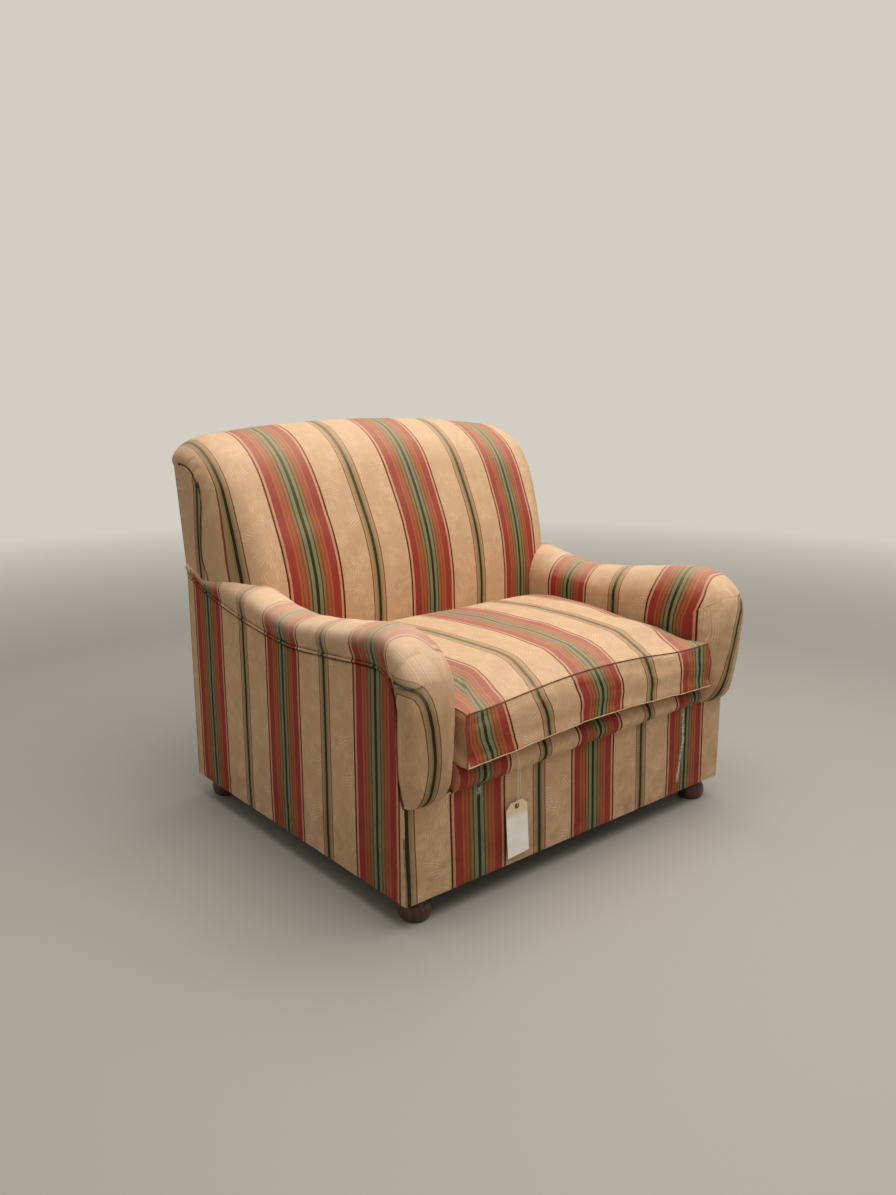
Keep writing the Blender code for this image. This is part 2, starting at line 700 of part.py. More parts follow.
def roll_ring(station, side):
    """Section of the roll: up from the frame to the seam, round the stuffed outside and back down."""
    lean = math.radians(station["lean"])
    away = (-math.sin(lean), math.cos(lean))
    y_seam, z_seam = station["seam"]
    inner = station["inner"]
    centre = (inner + HALF_WIDTH) / 2
    half = (HALF_WIDTH - inner) / 2
    ring = [(side * X_FRAME, *station["base"]), (side * X_FRAME, y_seam, z_seam)]
    for step in range(ROLL_ARC_STEPS + 1):
        angle = math.pi * step / ROLL_ARC_STEPS
        across = math.cos(angle)
        outward = station["bulge"] * math.sin(2 * angle) if across > 0 else 0.0
        squareness = ROLL_SQUARENESS if across > 0 else ROLL_INNER_SQUARENESS
        x = centre + math.copysign(half * abs(across) ** squareness, across) + outward
        slope = 1 - ROLL_INNER_SLOPE * max(0.0, -across)
        out = station["full"] * slope * math.sin(angle) ** 0.8 if 0 < step < ROLL_ARC_STEPS else 0.0
        ring.append((side * x, y_seam + out * away[0], z_seam + out * away[1]))
    ring.append((side * inner, *station["base"]))
    return ring


def roll_top(y):
    """Height of the top of the roll, for what rests on it."""
    stations = [station for station in roll_stations() if station["lean"] == 0]
    table = sorted((s["seam"][0], s["seam"][1] + s["full"]) for s in stations)
    return interpolate(table, y)


def build_arm_covers(fabric, collection):
    stations = roll_stations()
    seam = [station["seam"] for station in stations]
    leans = [math.radians(station["lean"]) for station in stations]
    edge = [(y + GAP * math.sin(lean), z - GAP * math.cos(lean)) for (y, z), lean in zip(seam, leans)]
    front = -Y_FRAME
    corner = [(edge[-1][0], Z_APRON), (front, Z_APRON), (front, FOOT_HEIGHT)]
    outline = [(Y_FRAME, FOOT_HEIGHT), (Y_FRAME, edge[0][1]), *edge, *corner]
    for name, side in SIDES:
        loft(name + "_arm_roll", [roll_ring(station, side) for station in stations], fabric, collection, 50)
        x_low, x_high = sorted((side * (HALF_WIDTH - PANEL_THICKNESS), side * HALF_WIDTH))
        side_plate(name + "_outside_arm", outline, x_low, x_high, fabric, collection)
        mirrored_box(
            name + "_inside_arm",
            side,
            (X_ARM_INSIDE, -Y_ARM_POST, Z_DECK),
            (X_ARM_FRAME - GAP, Y_BACK_PAD, Z_ARM_RAIL),
            fabric,
            collection,
        )


def build_apron(fabric, collection):
    box(
        "front_apron",
        (-HALF_WIDTH, -HALF_DEPTH, FOOT_HEIGHT),
        (HALF_WIDTH, -HALF_DEPTH + PANEL_THICKNESS, Z_APRON),
        fabric,
        collection,
    ).modifiers["softened edges"].width = PANEL_THICKNESS / 4


# Back


def back_ring(x):
    """Section of the back pad at x: up the inside face, over the crest, round the scroll and down the rear."""
    straight = HALF_WIDTH - BACK_EDGE_ROUND
    over = max(0.0, abs(x) - straight) / BACK_EDGE_ROUND
    keep = BACK_EDGE_KEEP + (1 - BACK_EDGE_KEEP) * math.sqrt(max(0.0, 1 - over * over))
    drop = CREST_ARCH * x * x
    under = scroll_seat()
    start_share = BACK_FRONT_LINE[CREST_DROP_POINT][1]
    outside = []
    for depth, share in BACK_FRONT_LINE:
        lowered = drop * max(0.0, share - start_share) / (1 - start_share)
        outside.append((Y_BACK_PAD - depth, Z_DECK + share * CREST_HEIGHT - lowered))
    outside.append((Y_BACK_PAD + CREST_DEPTH, Z_CREST - drop))
    for depth, below in SCROLL_LINE:
        share = 1 - below / SCROLL_LINE[-1][1]
        outside.append((Y_BACK_PAD + depth, Z_CREST - below - drop * share))
    outside.append(under[0])
    middle = under[1]
    ring = []
    for y, z in outside:
        toward_y = Y_BACK_PAD + CREST_DEPTH * min(1.0, max(0.0, (z - under[2][1]) / (middle[1] - under[2][1])))
        toward_z = min(z, middle[1])
        ring.append((toward_y + (y - toward_y) * keep, toward_z + (z - toward_z) * keep))
    ring += [middle, under[2], (Y_BACK_PAD, Z_DECK)]
    flared = []
    for y, z in ring:
        rise = min(1.0, max(0.0, (z - Z_DECK - BACK_FLARE_START) / BACK_FLARE_LENGTH))
        flared.append((x * (1 + BACK_FLARE * rise), y, z))
    return flared


def arm_clearance(name, side, material, cutters):
    """Cutter that leaves the back pad room over and beside an arm."""
    beside_back = [share * HALF_DEPTH for share, *_ in ROLL_LINE if share > 0]
    ys = [Y_BACK_PAD + ARM_CUT_REAR, Y_BACK_PAD, *beside_back]
    line = [(y, roll_top(y) + GAP) for y in ys]
    outline = [*line, (line[-1][0], Z_FRAME), (line[0][0], Z_FRAME)]
    rings = [[(side * x, y, z) for y, z in outline] for x in (X_ARM_INSIDE - GAP, BASE_WIDTH)]
    cutter = loft(name, rings, material, cutters, None)
    cutter.hide_render = True
    cutter.display_type = "WIRE"
    return cutter


def build_back_pad(fabric, collection, cutters):
    straight = HALF_WIDTH - BACK_EDGE_ROUND
    middle = [-straight + 2 * straight * step / BACK_MIDDLE_STATIONS for step in range(BACK_MIDDLE_STATIONS + 1)]
    edge = [straight + BACK_EDGE_ROUND * share for share in BACK_EDGE_SHARES[1:]]
    xs = [-x for x in reversed(edge)] + middle + edge
    pad = loft("back_pad", [back_ring(x) for x in xs], fabric, collection, 50)
    for name, side in SIDES:
        cut = pad.modifiers.new(name + " arm clearance", "BOOLEAN")
        cut.operation = "DIFFERENCE"
        cut.solver = "EXACT"
        cut.object = arm_clearance(name + "_arm_clearance", side, fabric, cutters)


def build_back_covers(fabric, collection):
    side_front = Y_BACK_POST
    side_outline = [
        (side_front, roll_top(side_front) + GAP),
        (Y_FRAME, roll_top(Y_FRAME) + GAP),
        *raked_back(Y_FRAME),
        *frame_top(side_front),
    ]
    for name, side in SIDES:
        x_low, x_high = sorted((side * (HALF_WIDTH - PANEL_THICKNESS), side * HALF_WIDTH))
        side_plate(name + "_back_side", side_outline, x_low, x_high, fabric, collection)
    inner = raked_back(Y_FRAME + GAP)
    outer = raked_back(HALF_DEPTH)
    outline = [(Y_FRAME + GAP, FOOT_HEIGHT), *inner, *reversed(outer), (HALF_DEPTH, FOOT_HEIGHT)]
    side_plate("outside_back", outline, -HALF_WIDTH, HALF_WIDTH, fabric, collection)


# Hang tag


def tag_plane_y():
    return -HALF_DEPTH - TAG_STANDOFF


def build_tag(paper, fibre, collection):
    half = TAG_WIDTH / 2
    top = TAG_EYE_INSET
    bottom = top - TAG_LENGTH
    cut = TAG_CORNER_CUT
    outline = [(-half, bottom), (half, bottom), (half, top - cut), (half - cut, top), (cut - half, top), (-half, top - cut)]
    turn = (math.pi / 2, math.radians(-TAG_TILT_DEGREES), 0.0)
    place = (TAG_EYE_X, tag_plane_y(), TAG_EYE_Z)
    plate("hang_tag", [outline, circle(TAG_HOLE_RADIUS, 12)], TAG_THICKNESS, paper, collection, turn, place)
    front = (TAG_EYE_X, tag_plane_y() - TAG_THICKNESS / 2 - GAP - EYELET_THICKNESS / 2, TAG_EYE_Z)
    rings = [circle(EYELET_RADIUS, 20), circle(EYELET_HOLE_RADIUS, 12)]
    plate("tag_eyelet", rings, EYELET_THICKNESS, fibre, collection, turn, front)


def string_route():
    """Hand-placed route of the string: out from under the cushion, through the eyelet and back beside itself."""
    return [
        (-0.2345, -0.4262, 0.3205),
        (-0.2345, -0.4350, 0.3175),
        (-0.2343, -0.4460, 0.3140),
        (-0.2338, -0.4535, 0.3050),
        (-0.2326, -0.4560, 0.2900),
        (-0.2300, -0.4550, 0.2620),
        (-0.2262, -0.4515, 0.2300),
        (-0.2222, -0.4470, 0.2030),
        (-0.2200, -0.4448, 0.1910),
        (-0.2192, -0.4440, 0.1872),
        (-0.2190, -0.4424, 0.1850),
        (-0.2190, -0.4408, 0.1846),
        (-0.2188, -0.4388, 0.1852),
        (-0.2180, -0.4376, 0.1878),
        (-0.2164, -0.4380, 0.1920),
        (-0.2140, -0.4420, 0.1990),
        (-0.2150, -0.4466, 0.2120),
        (-0.2196, -0.4518, 0.2380),
        (-0.2250, -0.4554, 0.2660),
        (-0.2284, -0.4564, 0.2900),
        (-0.2300, -0.4538, 0.3050),
        (-0.2310, -0.4462, 0.3142),
        (-0.2316, -0.4352, 0.3177),
        (-0.2318, -0.4264, 0.3205),
    ]


def smooth_points(points, per_span):
    """Points along a Catmull-Rom curve through the given ones."""
    line = []
    for index in range(len(points) - 1):
        before = points[max(index - 1, 0)]
        start = points[index]
        end = points[index + 1]
        after = points[min(index + 2, len(points) - 1)]
        for step in range(per_span):
            t = step / per_span
            line.append(
                tuple(
                    0.5
                    * (
                        2 * start[k]
                        + (end[k] - before[k]) * t
                        + (2 * before[k] - 5 * start[k] + 4 * end[k] - after[k]) * t * t
                        + (3 * start[k] - before[k] - 3 * end[k] + after[k]) * t**3
                    )
                    for k in range(3)
                )
            )
    line.append(points[-1])
    return line


def build_string(cotton, collection):
    curve = bpy.data.curves.new("tag_string", "CURVE")
    curve.dimensions = "3D"
    curve.bevel_depth = STRING_RADIUS
    curve.bevel_resolution = 2
    curve.use_fill_caps = True
    points = smooth_points(string_route(), 3)
    spline = curve.splines.new("POLY")
    spline.points.add(len(points) - 1)
    for knot, point in zip(spline.points, points):
        knot.co = (*point, 1.0)
    add_object("tag_string", curve, cotton, collection)


def build_chair():
    clear_scene()
    chair = make_collection("sagging_armchair")
    cutters = make_collection("cutters")
    cutters.hide_render = True

    beech = make_material("beech", (0.55, 0.38, 0.22), 0.6)
    stained_wood = make_material("stained_wood", (0.09, 0.035, 0.018), 0.35)
    steel = make_material("spring_steel", (0.35, 0.33, 0.30), 0.45, 0.9)
    jute = make_material("jute", (0.50, 0.38, 0.22), 0.9)
    striped_cloth = make_material("striped_cloth", (0.62, 0.42, 0.26), 0.85)
    black_cloth = make_material("black_cloth", (0.02, 0.02, 0.02), 0.9)
    cotton = make_material("cotton_string", (0.80, 0.74, 0.62), 0.8)
    paper = make_material("tag_paper", (0.82, 0.76, 0.66), 0.7)
    fibre = make_material("eyelet_fibre", (0.35, 0.13, 0.06), 0.6)

    build_seat_frame(beech, chair)
    build_arm_frame(beech, chair)
    build_back_frame(beech, chair)
    build_feet(stained_wood, chair)
    build_webbing(jute, chair)
    build_springs(steel, chair)
    build_canvas(jute, chair)
    build_bottom_cloth(black_cloth, chair)
    build_deck(striped_cloth, chair)
    build_cushion(striped_cloth, chair)
    build_arm_covers(striped_cloth, chair)
    build_apron(striped_cloth, chair)
    build_back_pad(striped_cloth, chair, cutters)
    build_back_covers(striped_cloth, chair)
    build_string(cotton, chair)
    build_tag(paper, fibre, chair)


build_chair()
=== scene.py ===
# %% [markdown]
# # A sagging striped armchair
#
# The frame holds the chair's solids: beech rails, springs, webbing and plain shapes for everything stuffed.
# This script dresses it. Each upholstered part gets a finer cover with the woven stripes laid over it as
# an upholsterer lays cloth: every point of a cover knows where it lies on the flat cloth, in metres.

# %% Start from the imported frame
import math

import bmesh
import bpy
import numpy as np
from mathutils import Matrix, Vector, noise


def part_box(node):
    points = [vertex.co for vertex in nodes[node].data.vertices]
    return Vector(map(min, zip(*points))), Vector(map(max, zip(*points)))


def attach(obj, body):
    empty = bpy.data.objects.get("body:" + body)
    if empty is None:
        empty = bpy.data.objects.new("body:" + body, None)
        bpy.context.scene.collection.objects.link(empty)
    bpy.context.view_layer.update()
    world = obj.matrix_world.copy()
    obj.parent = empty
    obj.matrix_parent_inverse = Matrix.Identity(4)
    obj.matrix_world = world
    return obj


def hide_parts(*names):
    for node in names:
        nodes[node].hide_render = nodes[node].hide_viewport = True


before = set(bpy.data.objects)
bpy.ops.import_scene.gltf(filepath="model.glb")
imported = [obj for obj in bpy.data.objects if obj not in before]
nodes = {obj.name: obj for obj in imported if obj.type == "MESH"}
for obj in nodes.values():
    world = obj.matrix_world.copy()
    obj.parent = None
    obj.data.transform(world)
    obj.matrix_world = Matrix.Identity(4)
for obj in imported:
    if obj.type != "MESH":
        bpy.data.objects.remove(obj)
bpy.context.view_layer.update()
print("nodes in the frame:", len(nodes))

# %% [markdown]
# ## Camera
#
# The photograph was taken from the chair's front left, a little above it. The lens and place below come from
# the chair's own right angles, so anything modelled at its real place lands on its place in the picture.


# %% Camera at the photograph's viewpoint
def in_scene(name, data):
    """A new object with the given data, linked into the scene."""
    made = bpy.data.objects.new(name, data)
    bpy.context.scene.collection.objects.link(made)
    return made


IMAGE_WIDTH = 896
IMAGE_HEIGHT = 1195
FOCAL_PIXELS = 976.9
SENSOR_SIZE = 36.0
CAMERA_PLACE = (-1.528, -1.772, 1.038)
CAMERA_YAW = 40.20
CAMERA_PITCH = 12.59

camera_data = bpy.data.cameras.new("photo_camera")
camera_data.sensor_width = SENSOR_SIZE
camera_data.lens = FOCAL_PIXELS / max(IMAGE_WIDTH, IMAGE_HEIGHT) * SENSOR_SIZE
camera = in_scene("photo_camera", camera_data)
camera.location = CAMERA_PLACE
camera.rotation_euler = (math.radians(90 - CAMERA_PITCH), 0.0, math.radians(-CAMERA_YAW))
bpy.context.scene.camera = camera
print(f"lens {camera_data.lens:.2f} mm")

# %% [markdown]
# ## Lines and tables
#
# Most shapes here come from short tables: the height of a seam along the arm, the profile of the back.
# A Catmull-Rom curve passes through every point of a table, so it turns a few honest measurements into a
# smooth line without overshooting far.


# %% Smooth lines through a few points
def smooth_line(points, steps):
    """Points on a Catmull-Rom line through the given ones, with that many steps in each span."""
    points = np.asarray(points, float)
    steps = [steps] * (len(points) - 1) if isinstance(steps, int) else steps
    padded = np.vstack([points[0], points, points[-1]])
    line = []
    for span, count in enumerate(steps):
        before, start, end, after = padded[span : span + 4]
        t = np.arange(count)[:, None] / count
        line.append(
            0.5
            * (
                2 * start
                + (end - before) * t
                + (2 * before - 5 * start + 4 * end - after) * t**2
                + (3 * start - before - 3 * end + after) * t**3
            )
        )
    return np.vstack([*line, points[-1:]])


def lengths_along(line):
    """Distance travelled along a line at each of its points."""
    steps = np.linalg.norm(np.diff(line, axis=0), axis=1)
    return np.concatenate([[0.0], np.cumsum(steps)])


def line_at(table, value):
    return np.interp(value, [first for first, _ in table], [second for _, second in table])


def ease(low, high, value):
    """0 below low, 1 above high, and a soft S between them."""
    t = np.clip((np.asarray(value, float) - low) / (high - low), 0.0, 1.0)
    return t * t * (3 - 2 * t)


# %% [markdown]
# ## The tag's string
#
# A thin cotton string comes out from under the cushion, runs over the lip of the seat, through the tag's
# eyelet and back up beside itself. It is one open curve with a round section: a curve keeps its own centre
# line, so its length can be measured, and it stays editable. It follows the same route as its solid.

# %% String through the eyelet
STRING_DIAMETER = 0.0012
STRING_ROUTE = [
    (-0.2345, -0.4262, 0.3205),
    (-0.2345, -0.4350, 0.3175),
    (-0.2343, -0.4460, 0.3140),
    (-0.2338, -0.4535, 0.3050),
    (-0.2326, -0.4560, 0.2900),
    (-0.2300, -0.4550, 0.2620),
    (-0.2262, -0.4515, 0.2300),
    (-0.2222, -0.4470, 0.2030),
    (-0.2200, -0.4448, 0.1910),
    (-0.2192, -0.4440, 0.1872),
    (-0.2190, -0.4424, 0.1850),
    (-0.2190, -0.4408, 0.1846),
    (-0.2188, -0.4388, 0.1852),
    (-0.2180, -0.4376, 0.1878),
    (-0.2164, -0.4380, 0.1920),
    (-0.2140, -0.4420, 0.1990),
    (-0.2150, -0.4466, 0.2120),
    (-0.2196, -0.4518, 0.2380),
    (-0.2250, -0.4554, 0.2660),
    (-0.2284, -0.4564, 0.2900),
    (-0.2300, -0.4538, 0.3050),
    (-0.2310, -0.4462, 0.3142),
    (-0.2316, -0.4352, 0.3177),
    (-0.2318, -0.4264, 0.3205),
]
CURVE_POINT_RADIUS = 0.001


def tube(name, line, diameter, sides=3):
    """A round cord along a line, as one open curve."""
    curve = bpy.data.curves.new(name, "CURVE")
    curve.dimensions = "3D"
    curve.bevel_depth = diameter / 2 / CURVE_POINT_RADIUS
    curve.bevel_resolution = sides
    curve.use_fill_caps = True
    spline = curve.splines.new("POLY")
    spline.points.add(len(line) - 1)
    for point, place in zip(spline.points, line):
        point.co = (*place, 1.0)
        point.radius = CURVE_POINT_RADIUS
    return in_scene(name, curve)


string_line = smooth_line(STRING_ROUTE, 4)
string = tube("cotton_string", string_line, STRING_DIAMETER)
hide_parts("tag_string")
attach(string, "root")

# %% [markdown]
# ## Node helpers
#
# Materials here are node trees. One helper adds a node, sets its options and connects or fills its sockets,
# so that a tree reads as a list of steps. Another starts a node group with named inputs and outputs.


# %% Helpers for node trees
def srgb(red, green, blue):
    """A colour given as 0 to 255 on screen, as the linear values that shaders use."""
    linear = []
    for value in (red, green, blue):
        share = value / 255
        linear.append(share / 12.92 if share <= 0.04045 else ((share + 0.055) / 1.055) ** 2.4)
    return (*linear, 1.0)


def feed(tree, value, socket):
    """Gives a socket its value: a link from another socket, or a plain value."""
    if isinstance(value, bpy.types.NodeSocket):
        tree.links.new(value, socket)
    else:
        socket.default_value = value


def add_node(tree, kind, sockets=None, **options):
    """Adds a node. Sockets are given by name or number, as a value or as the output that feeds them."""
    made = tree.nodes.new(kind)
    for key, value in options.items():
        setattr(made, key, value)
    for key, value in (sockets or {}).items():
        feed(tree, value, made.inputs[key])
    return made


def maths(tree, operation, first, second=0.0, third=0.0):
    sockets = {0: first, 1: second, 2: third}
    return add_node(tree, "ShaderNodeMath", sockets, operation=operation).outputs[0]


def blend_colours(tree, factor, first, second, blend_type="MIX"):
    made = add_node(tree, "ShaderNodeMix", data_type="RGBA", blend_type=blend_type)
    for socket, value in ((made.inputs[0], factor), (made.inputs[6], first), (made.inputs[7], second)):
        feed(tree, value, socket)
    return made.outputs[2]


def stretched(tree, vector, scale):
    """The same coordinates, scaled along each axis."""
    return add_node(tree, "ShaderNodeVectorMath", {0: vector, 1: scale}, operation="MULTIPLY").outputs[0]


def noise_value(tree, vector, scale, detail=2.0, roughness=0.5):
    sockets = {"Vector": vector, "Scale": scale, "Detail": detail, "Roughness": roughness}
    return add_node(tree, "ShaderNodeTexNoise", sockets).outputs[0]


def remap(tree, value, low, high, to_low=0.0, to_high=1.0):
    sockets = {0: value, 1: low, 2: high, 3: to_low, 4: to_high}
    return add_node(tree, "ShaderNodeMapRange", sockets).outputs[0]


def start_group(name, inputs, outputs):
    """A shader node group; inputs are (kind, name, default) and outputs are (kind, name)."""
    group = bpy.data.node_groups.new(name, "ShaderNodeTree")
    for kind, label, value in inputs:
        socket = group.interface.new_socket(name=label, in_out="INPUT", socket_type="NodeSocket" + kind)
        if value is not None:
            socket.default_value = value
    for kind, label in outputs:
        group.interface.new_socket(name=label, in_out="OUTPUT", socket_type="NodeSocket" + kind)
    return group, group.nodes.new("NodeGroupInput").outputs, group.nodes.new("NodeGroupOutput").inputs


def place_group(tree, group, sockets):
    made = tree.nodes.new("ShaderNodeGroup")
    made.node_tree = group
    for key, value in sockets.items():
        feed(tree, value, made.inputs[key])
    return made.outputs


# %% [markdown]
# ## The woven stripes
#
# The cloth is a furnishing cotton whose wide bands and thin stripes repeat every 338.5 mm. Both kinds are
# symmetric about their middle line, and a thin stripe lies halfway between two bands. So one number, the
# distance to the nearest band's middle, decides the colour. A ping-pong function folds the coordinate
# across the cloth into that distance, and a colour ramp with hard steps turns it into yarn colours. A little
# noise on the coordinate makes the steps as ragged as real yarn. The ramp's alpha marks the plain ground,
# because only the ground carries the woven leaves.

# %% Stripe colours by distance from the middle of a band
REPEAT = 0.3385
HALF_REPEAT = REPEAT / 2
GROUND = srgb(212, 174, 135)
STRIPES = (
    (0.0000, srgb(50, 52, 26)),
    (0.0036, srgb(130, 134, 100)),
    (0.0122, srgb(82, 74, 44)),
    (0.0158, srgb(154, 114, 72)),
    (0.0212, srgb(140, 84, 46)),
    (0.0262, srgb(168, 96, 58)),
    (0.0325, srgb(154, 76, 50)),
    (0.0362, srgb(182, 94, 62)),
    (0.0410, srgb(156, 64, 52)),
    (0.0608, srgb(214, 150, 118)),
    (0.0662, srgb(88, 42, 20)),
    (0.0712, GROUND),
    (0.1504, srgb(130, 76, 50)),
    (0.1529, srgb(184, 148, 110)),
    (0.1570, srgb(166, 144, 104)),
    (0.1612, srgb(150, 134, 94)),
    (0.1648, srgb(58, 48, 22)),
)


def build_stripes():
    group, given, result = start_group(
        "woven_stripes",
        [("Vector", "Cloth", None), ("Float", "Raggedness", 0.0007)],
        [("Color", "Colour"), ("Float", "Ground")],
    )
    across = add_node(group, "ShaderNodeSeparateXYZ", {0: given["Cloth"]}).outputs[0]
    yarns = noise_value(group, stretched(group, given["Cloth"], (700.0, 160.0, 1.0)), 1.0, 1.0)
    ragged = maths(group, "MULTIPLY", maths(group, "SUBTRACT", yarns, 0.5), given["Raggedness"])
    distance = maths(group, "PINGPONG", maths(group, "ADD", across, ragged), HALF_REPEAT)
    share = maths(group, "DIVIDE", distance, HALF_REPEAT)
    ramp = add_node(group, "ShaderNodeValToRGB", {0: share})
    ramp.color_ramp.interpolation = "CONSTANT"
    elements = ramp.color_ramp.elements
    elements.remove(elements[1])
    elements[0].color = (*STRIPES[0][1][:3], 0.0)
    for start, colour in STRIPES[1:]:
        elements.new(start / HALF_REPEAT).color = (*colour[:3], float(colour is GROUND))
    group.links.new(ramp.outputs["Color"], result["Colour"])
    group.links.new(ramp.outputs["Alpha"], result["Ground"])
    return group


stripes_group = build_stripes()
print("stripe colours:", len(STRIPES))

# %% [markdown]
# ## The leaf figure and the weave
#
# Between the stripes the ground shows a tone-on-tone figure of feathery leaves, smoother than the cloth
# round it; its sheen is painted in as well, as a lighter colour. Voronoi cells give each leaf its own place
# and direction, and a wave texture turned to that direction draws its veins. The weave itself is two
# crossing waves, under a millimetre apart, and slubs are streaks of noise along the warp.


# %% Leaf figure and weave
def build_weave():
    group, given, result = start_group(
        "figured_weave",
        [("Vector", "Cloth", None), ("Float", "Leaf Size", 0.055), ("Float", "Yarn", 0.0009)],
        [("Float", "Figure"), ("Float", "Slubs"), ("Float", "Height")],
    )
    cloth = given["Cloth"]
    cells = add_node(
        group,
        "ShaderNodeTexVoronoi",
        {"Vector": cloth, "Scale": maths(group, "DIVIDE", 1.0, given["Leaf Size"])},
        voronoi_dimensions="2D",
    )
    direction = add_node(group, "ShaderNodeSeparateColor", {0: cells.outputs["Color"]}).outputs[0]
    turn = maths(group, "MULTIPLY", direction, 2 * math.pi)
    turned = add_node(group, "ShaderNodeVectorRotate", {"Vector": cloth, "Angle": turn}).outputs[0]
    veins = add_node(
        group,
        "ShaderNodeTexWave",
        {"Vector": turned, "Scale": 50.0, "Distortion": 3.6, "Detail": 1.0, "Detail Scale": 1.2},
    ).outputs[1]
    strokes = remap(group, veins, 0.35, 0.75)
    patches = remap(group, noise_value(group, cloth, 46.0, 3.0), 0.40, 0.58)
    edges = remap(group, cells.outputs["Distance"], 0.30, 0.62, 1.0, 0.15)
    figure = maths(group, "MULTIPLY", maths(group, "MULTIPLY", strokes, patches), edges)
    slubs = noise_value(group, stretched(group, cloth, (900.0, 22.0, 1.0)), 1.0, 3.0)
    count = maths(group, "DIVIDE", 0.314, given["Yarn"])
    warp = add_node(group, "ShaderNodeTexWave", {"Vector": cloth, "Scale": count}).outputs[1]
    weft = add_node(
        group, "ShaderNodeTexWave", {"Vector": cloth, "Scale": count}, bands_direction="Y"
    ).outputs[1]
    threads = maths(group, "MULTIPLY", maths(group, "MULTIPLY", warp, weft), 0.6)
    raised = maths(group, "MULTIPLY_ADD", figure, 0.5, threads)
    height = maths(group, "MULTIPLY_ADD", slubs, 0.5, raised)
    group.links.new(figure, result["Figure"])
    group.links.new(slubs, result["Slubs"])
    group.links.new(height, result["Height"])
    return group


weave_group = build_weave()
print("weave group:", len(weave_group.nodes), "nodes")

# %% [markdown]
# ## Age, soil and painted shade
#
# Sun and hands have bleached the arm tops and the seat to a pinkish cream, and the covers are darker
# towards the bottom. One group mixes a colour towards its faded, darkened and worn-through states. The
# darkening is soil, and painted shade in seams, folds and creases and on the arms' front faces. The masks
# come from values stored on the vertices of each cover, broken up by noise so that no edge is clean.


# %% Fading, soil, painted shade and wear
def build_age_and_shade():
    group, given, result = start_group(
        "cloth_age_and_shade",
        [
            ("Color", "Colour", None),
            ("Vector", "Place", None),
            ("Float", "Faded", 0.0),
            ("Float", "Soil And Shade", 0.0),
            ("Float", "Worn", 0.0),
        ],
        [("Color", "Colour"), ("Float", "Worn")],
    )
    place = given["Place"]
    clouds = noise_value(group, place, 7.0, 4.0, 0.6)
    fade = maths(group, "MULTIPLY", given["Faded"], remap(group, clouds, 0.3, 0.7, 0.75, 1.1))
    bleached = blend_colours(group, fade, given["Colour"], srgb(242, 212, 184))
    blotches = noise_value(group, place, 16.0, 5.0, 0.65)
    # The darkening is soil and painted shade: both multiply the colour towards a dark brown.
    patchy = maths(group, "MULTIPLY", given["Soil And Shade"], remap(group, blotches, 0.35, 0.75))
    darkening = maths(group, "ADD", patchy, remap(group, given["Soil And Shade"], 0.5, 1.3, 0.0, 0.9))
    soiled = blend_colours(group, darkening, bleached, srgb(112, 84, 58), "MULTIPLY")
    rubbed = noise_value(group, place, 260.0, 3.0, 0.7)
    worn = maths(group, "MULTIPLY", given["Worn"], remap(group, rubbed, 0.40, 0.56))
    threadbare = blend_colours(group, worn, soiled, srgb(232, 218, 196))
    group.links.new(threadbare, result["Colour"])
    group.links.new(worn, result["Worn"])
    return group


age_and_shade_group = build_age_and_shade()
print("age group:", len(age_and_shade_group.nodes), "nodes")


# %% [markdown]
# ## Materials
#
# The cover's material reads the cloth map and the three stored values, and passes them through the groups
# above. Everything else needs only a mottled finish: two close colours and a roughness that change together,
# with a slight relief, because no real surface is one flat colour.


# %% Striped cloth material
def new_material(name):
    """A material with its node tree and its Principled shader."""
    material = bpy.data.materials.new(name)
    material.use_nodes = True
    return material, material.node_tree, material.node_tree.nodes["Principled BSDF"]


def object_place(tree):
    return add_node(tree, "ShaderNodeTexCoord").outputs["Object"]


def add_relief(tree, shader, height, strength, distance):
    bump = add_node(tree, "ShaderNodeBump", {"Height": height, "Strength": strength, "Distance": distance})
    tree.links.new(bump.outputs[0], shader.inputs["Normal"])


def striped_cloth(name, figure=0.46):
    material, tree, shader = new_material(name)
    cloth = add_node(tree, "ShaderNodeUVMap", uv_map="cloth").outputs[0]
    place = object_place(tree)
    masks = {}
    for mask in ("faded", "soiled", "worn"):
        masks[mask] = add_node(tree, "ShaderNodeAttribute", attribute_name=mask).outputs["Fac"]
    striped = place_group(tree, stripes_group, {"Cloth": cloth})
    weave = place_group(tree, weave_group, {"Cloth": cloth})
    # The woven figure is real; its lighter colour towards a pale cream is painted sheen.
    leaves = maths(tree, "MULTIPLY", weave["Figure"], striped["Ground"])
    painted_sheen = maths(tree, "MULTIPLY", leaves, figure)
    light = blend_colours(tree, painted_sheen, striped["Colour"], srgb(246, 218, 184))
    streaks = remap(tree, weave["Slubs"], 0.3, 0.7, 0.90, 1.06)
    toned = blend_colours(tree, 1.0, light, streaks, "MULTIPLY")
    aged = place_group(
        tree,
        age_and_shade_group,
        {
            "Colour": toned,
            "Place": place,
            "Faded": masks["faded"],
            "Soil And Shade": masks["soiled"],
            "Worn": masks["worn"],
        },
    )
    tree.links.new(aged["Colour"], shader.inputs["Base Color"])
    smoother = remap(tree, leaves, 0.0, 1.0, 0.88, 0.70)
    tree.links.new(smoother, shader.inputs["Roughness"])
    shader.inputs["Sheen Weight"].default_value = 0.03
    shader.inputs["Sheen Roughness"].default_value = 0.5
    shader.inputs["Specular IOR Level"].default_value = 0.12
    add_relief(tree, shader, weave["Height"], 0.45, 0.0007)
    return material


cover_cloth = striped_cloth("striped_cloth_cover")

print("cover cloth:", len(cover_cloth.node_tree.nodes), "nodes")


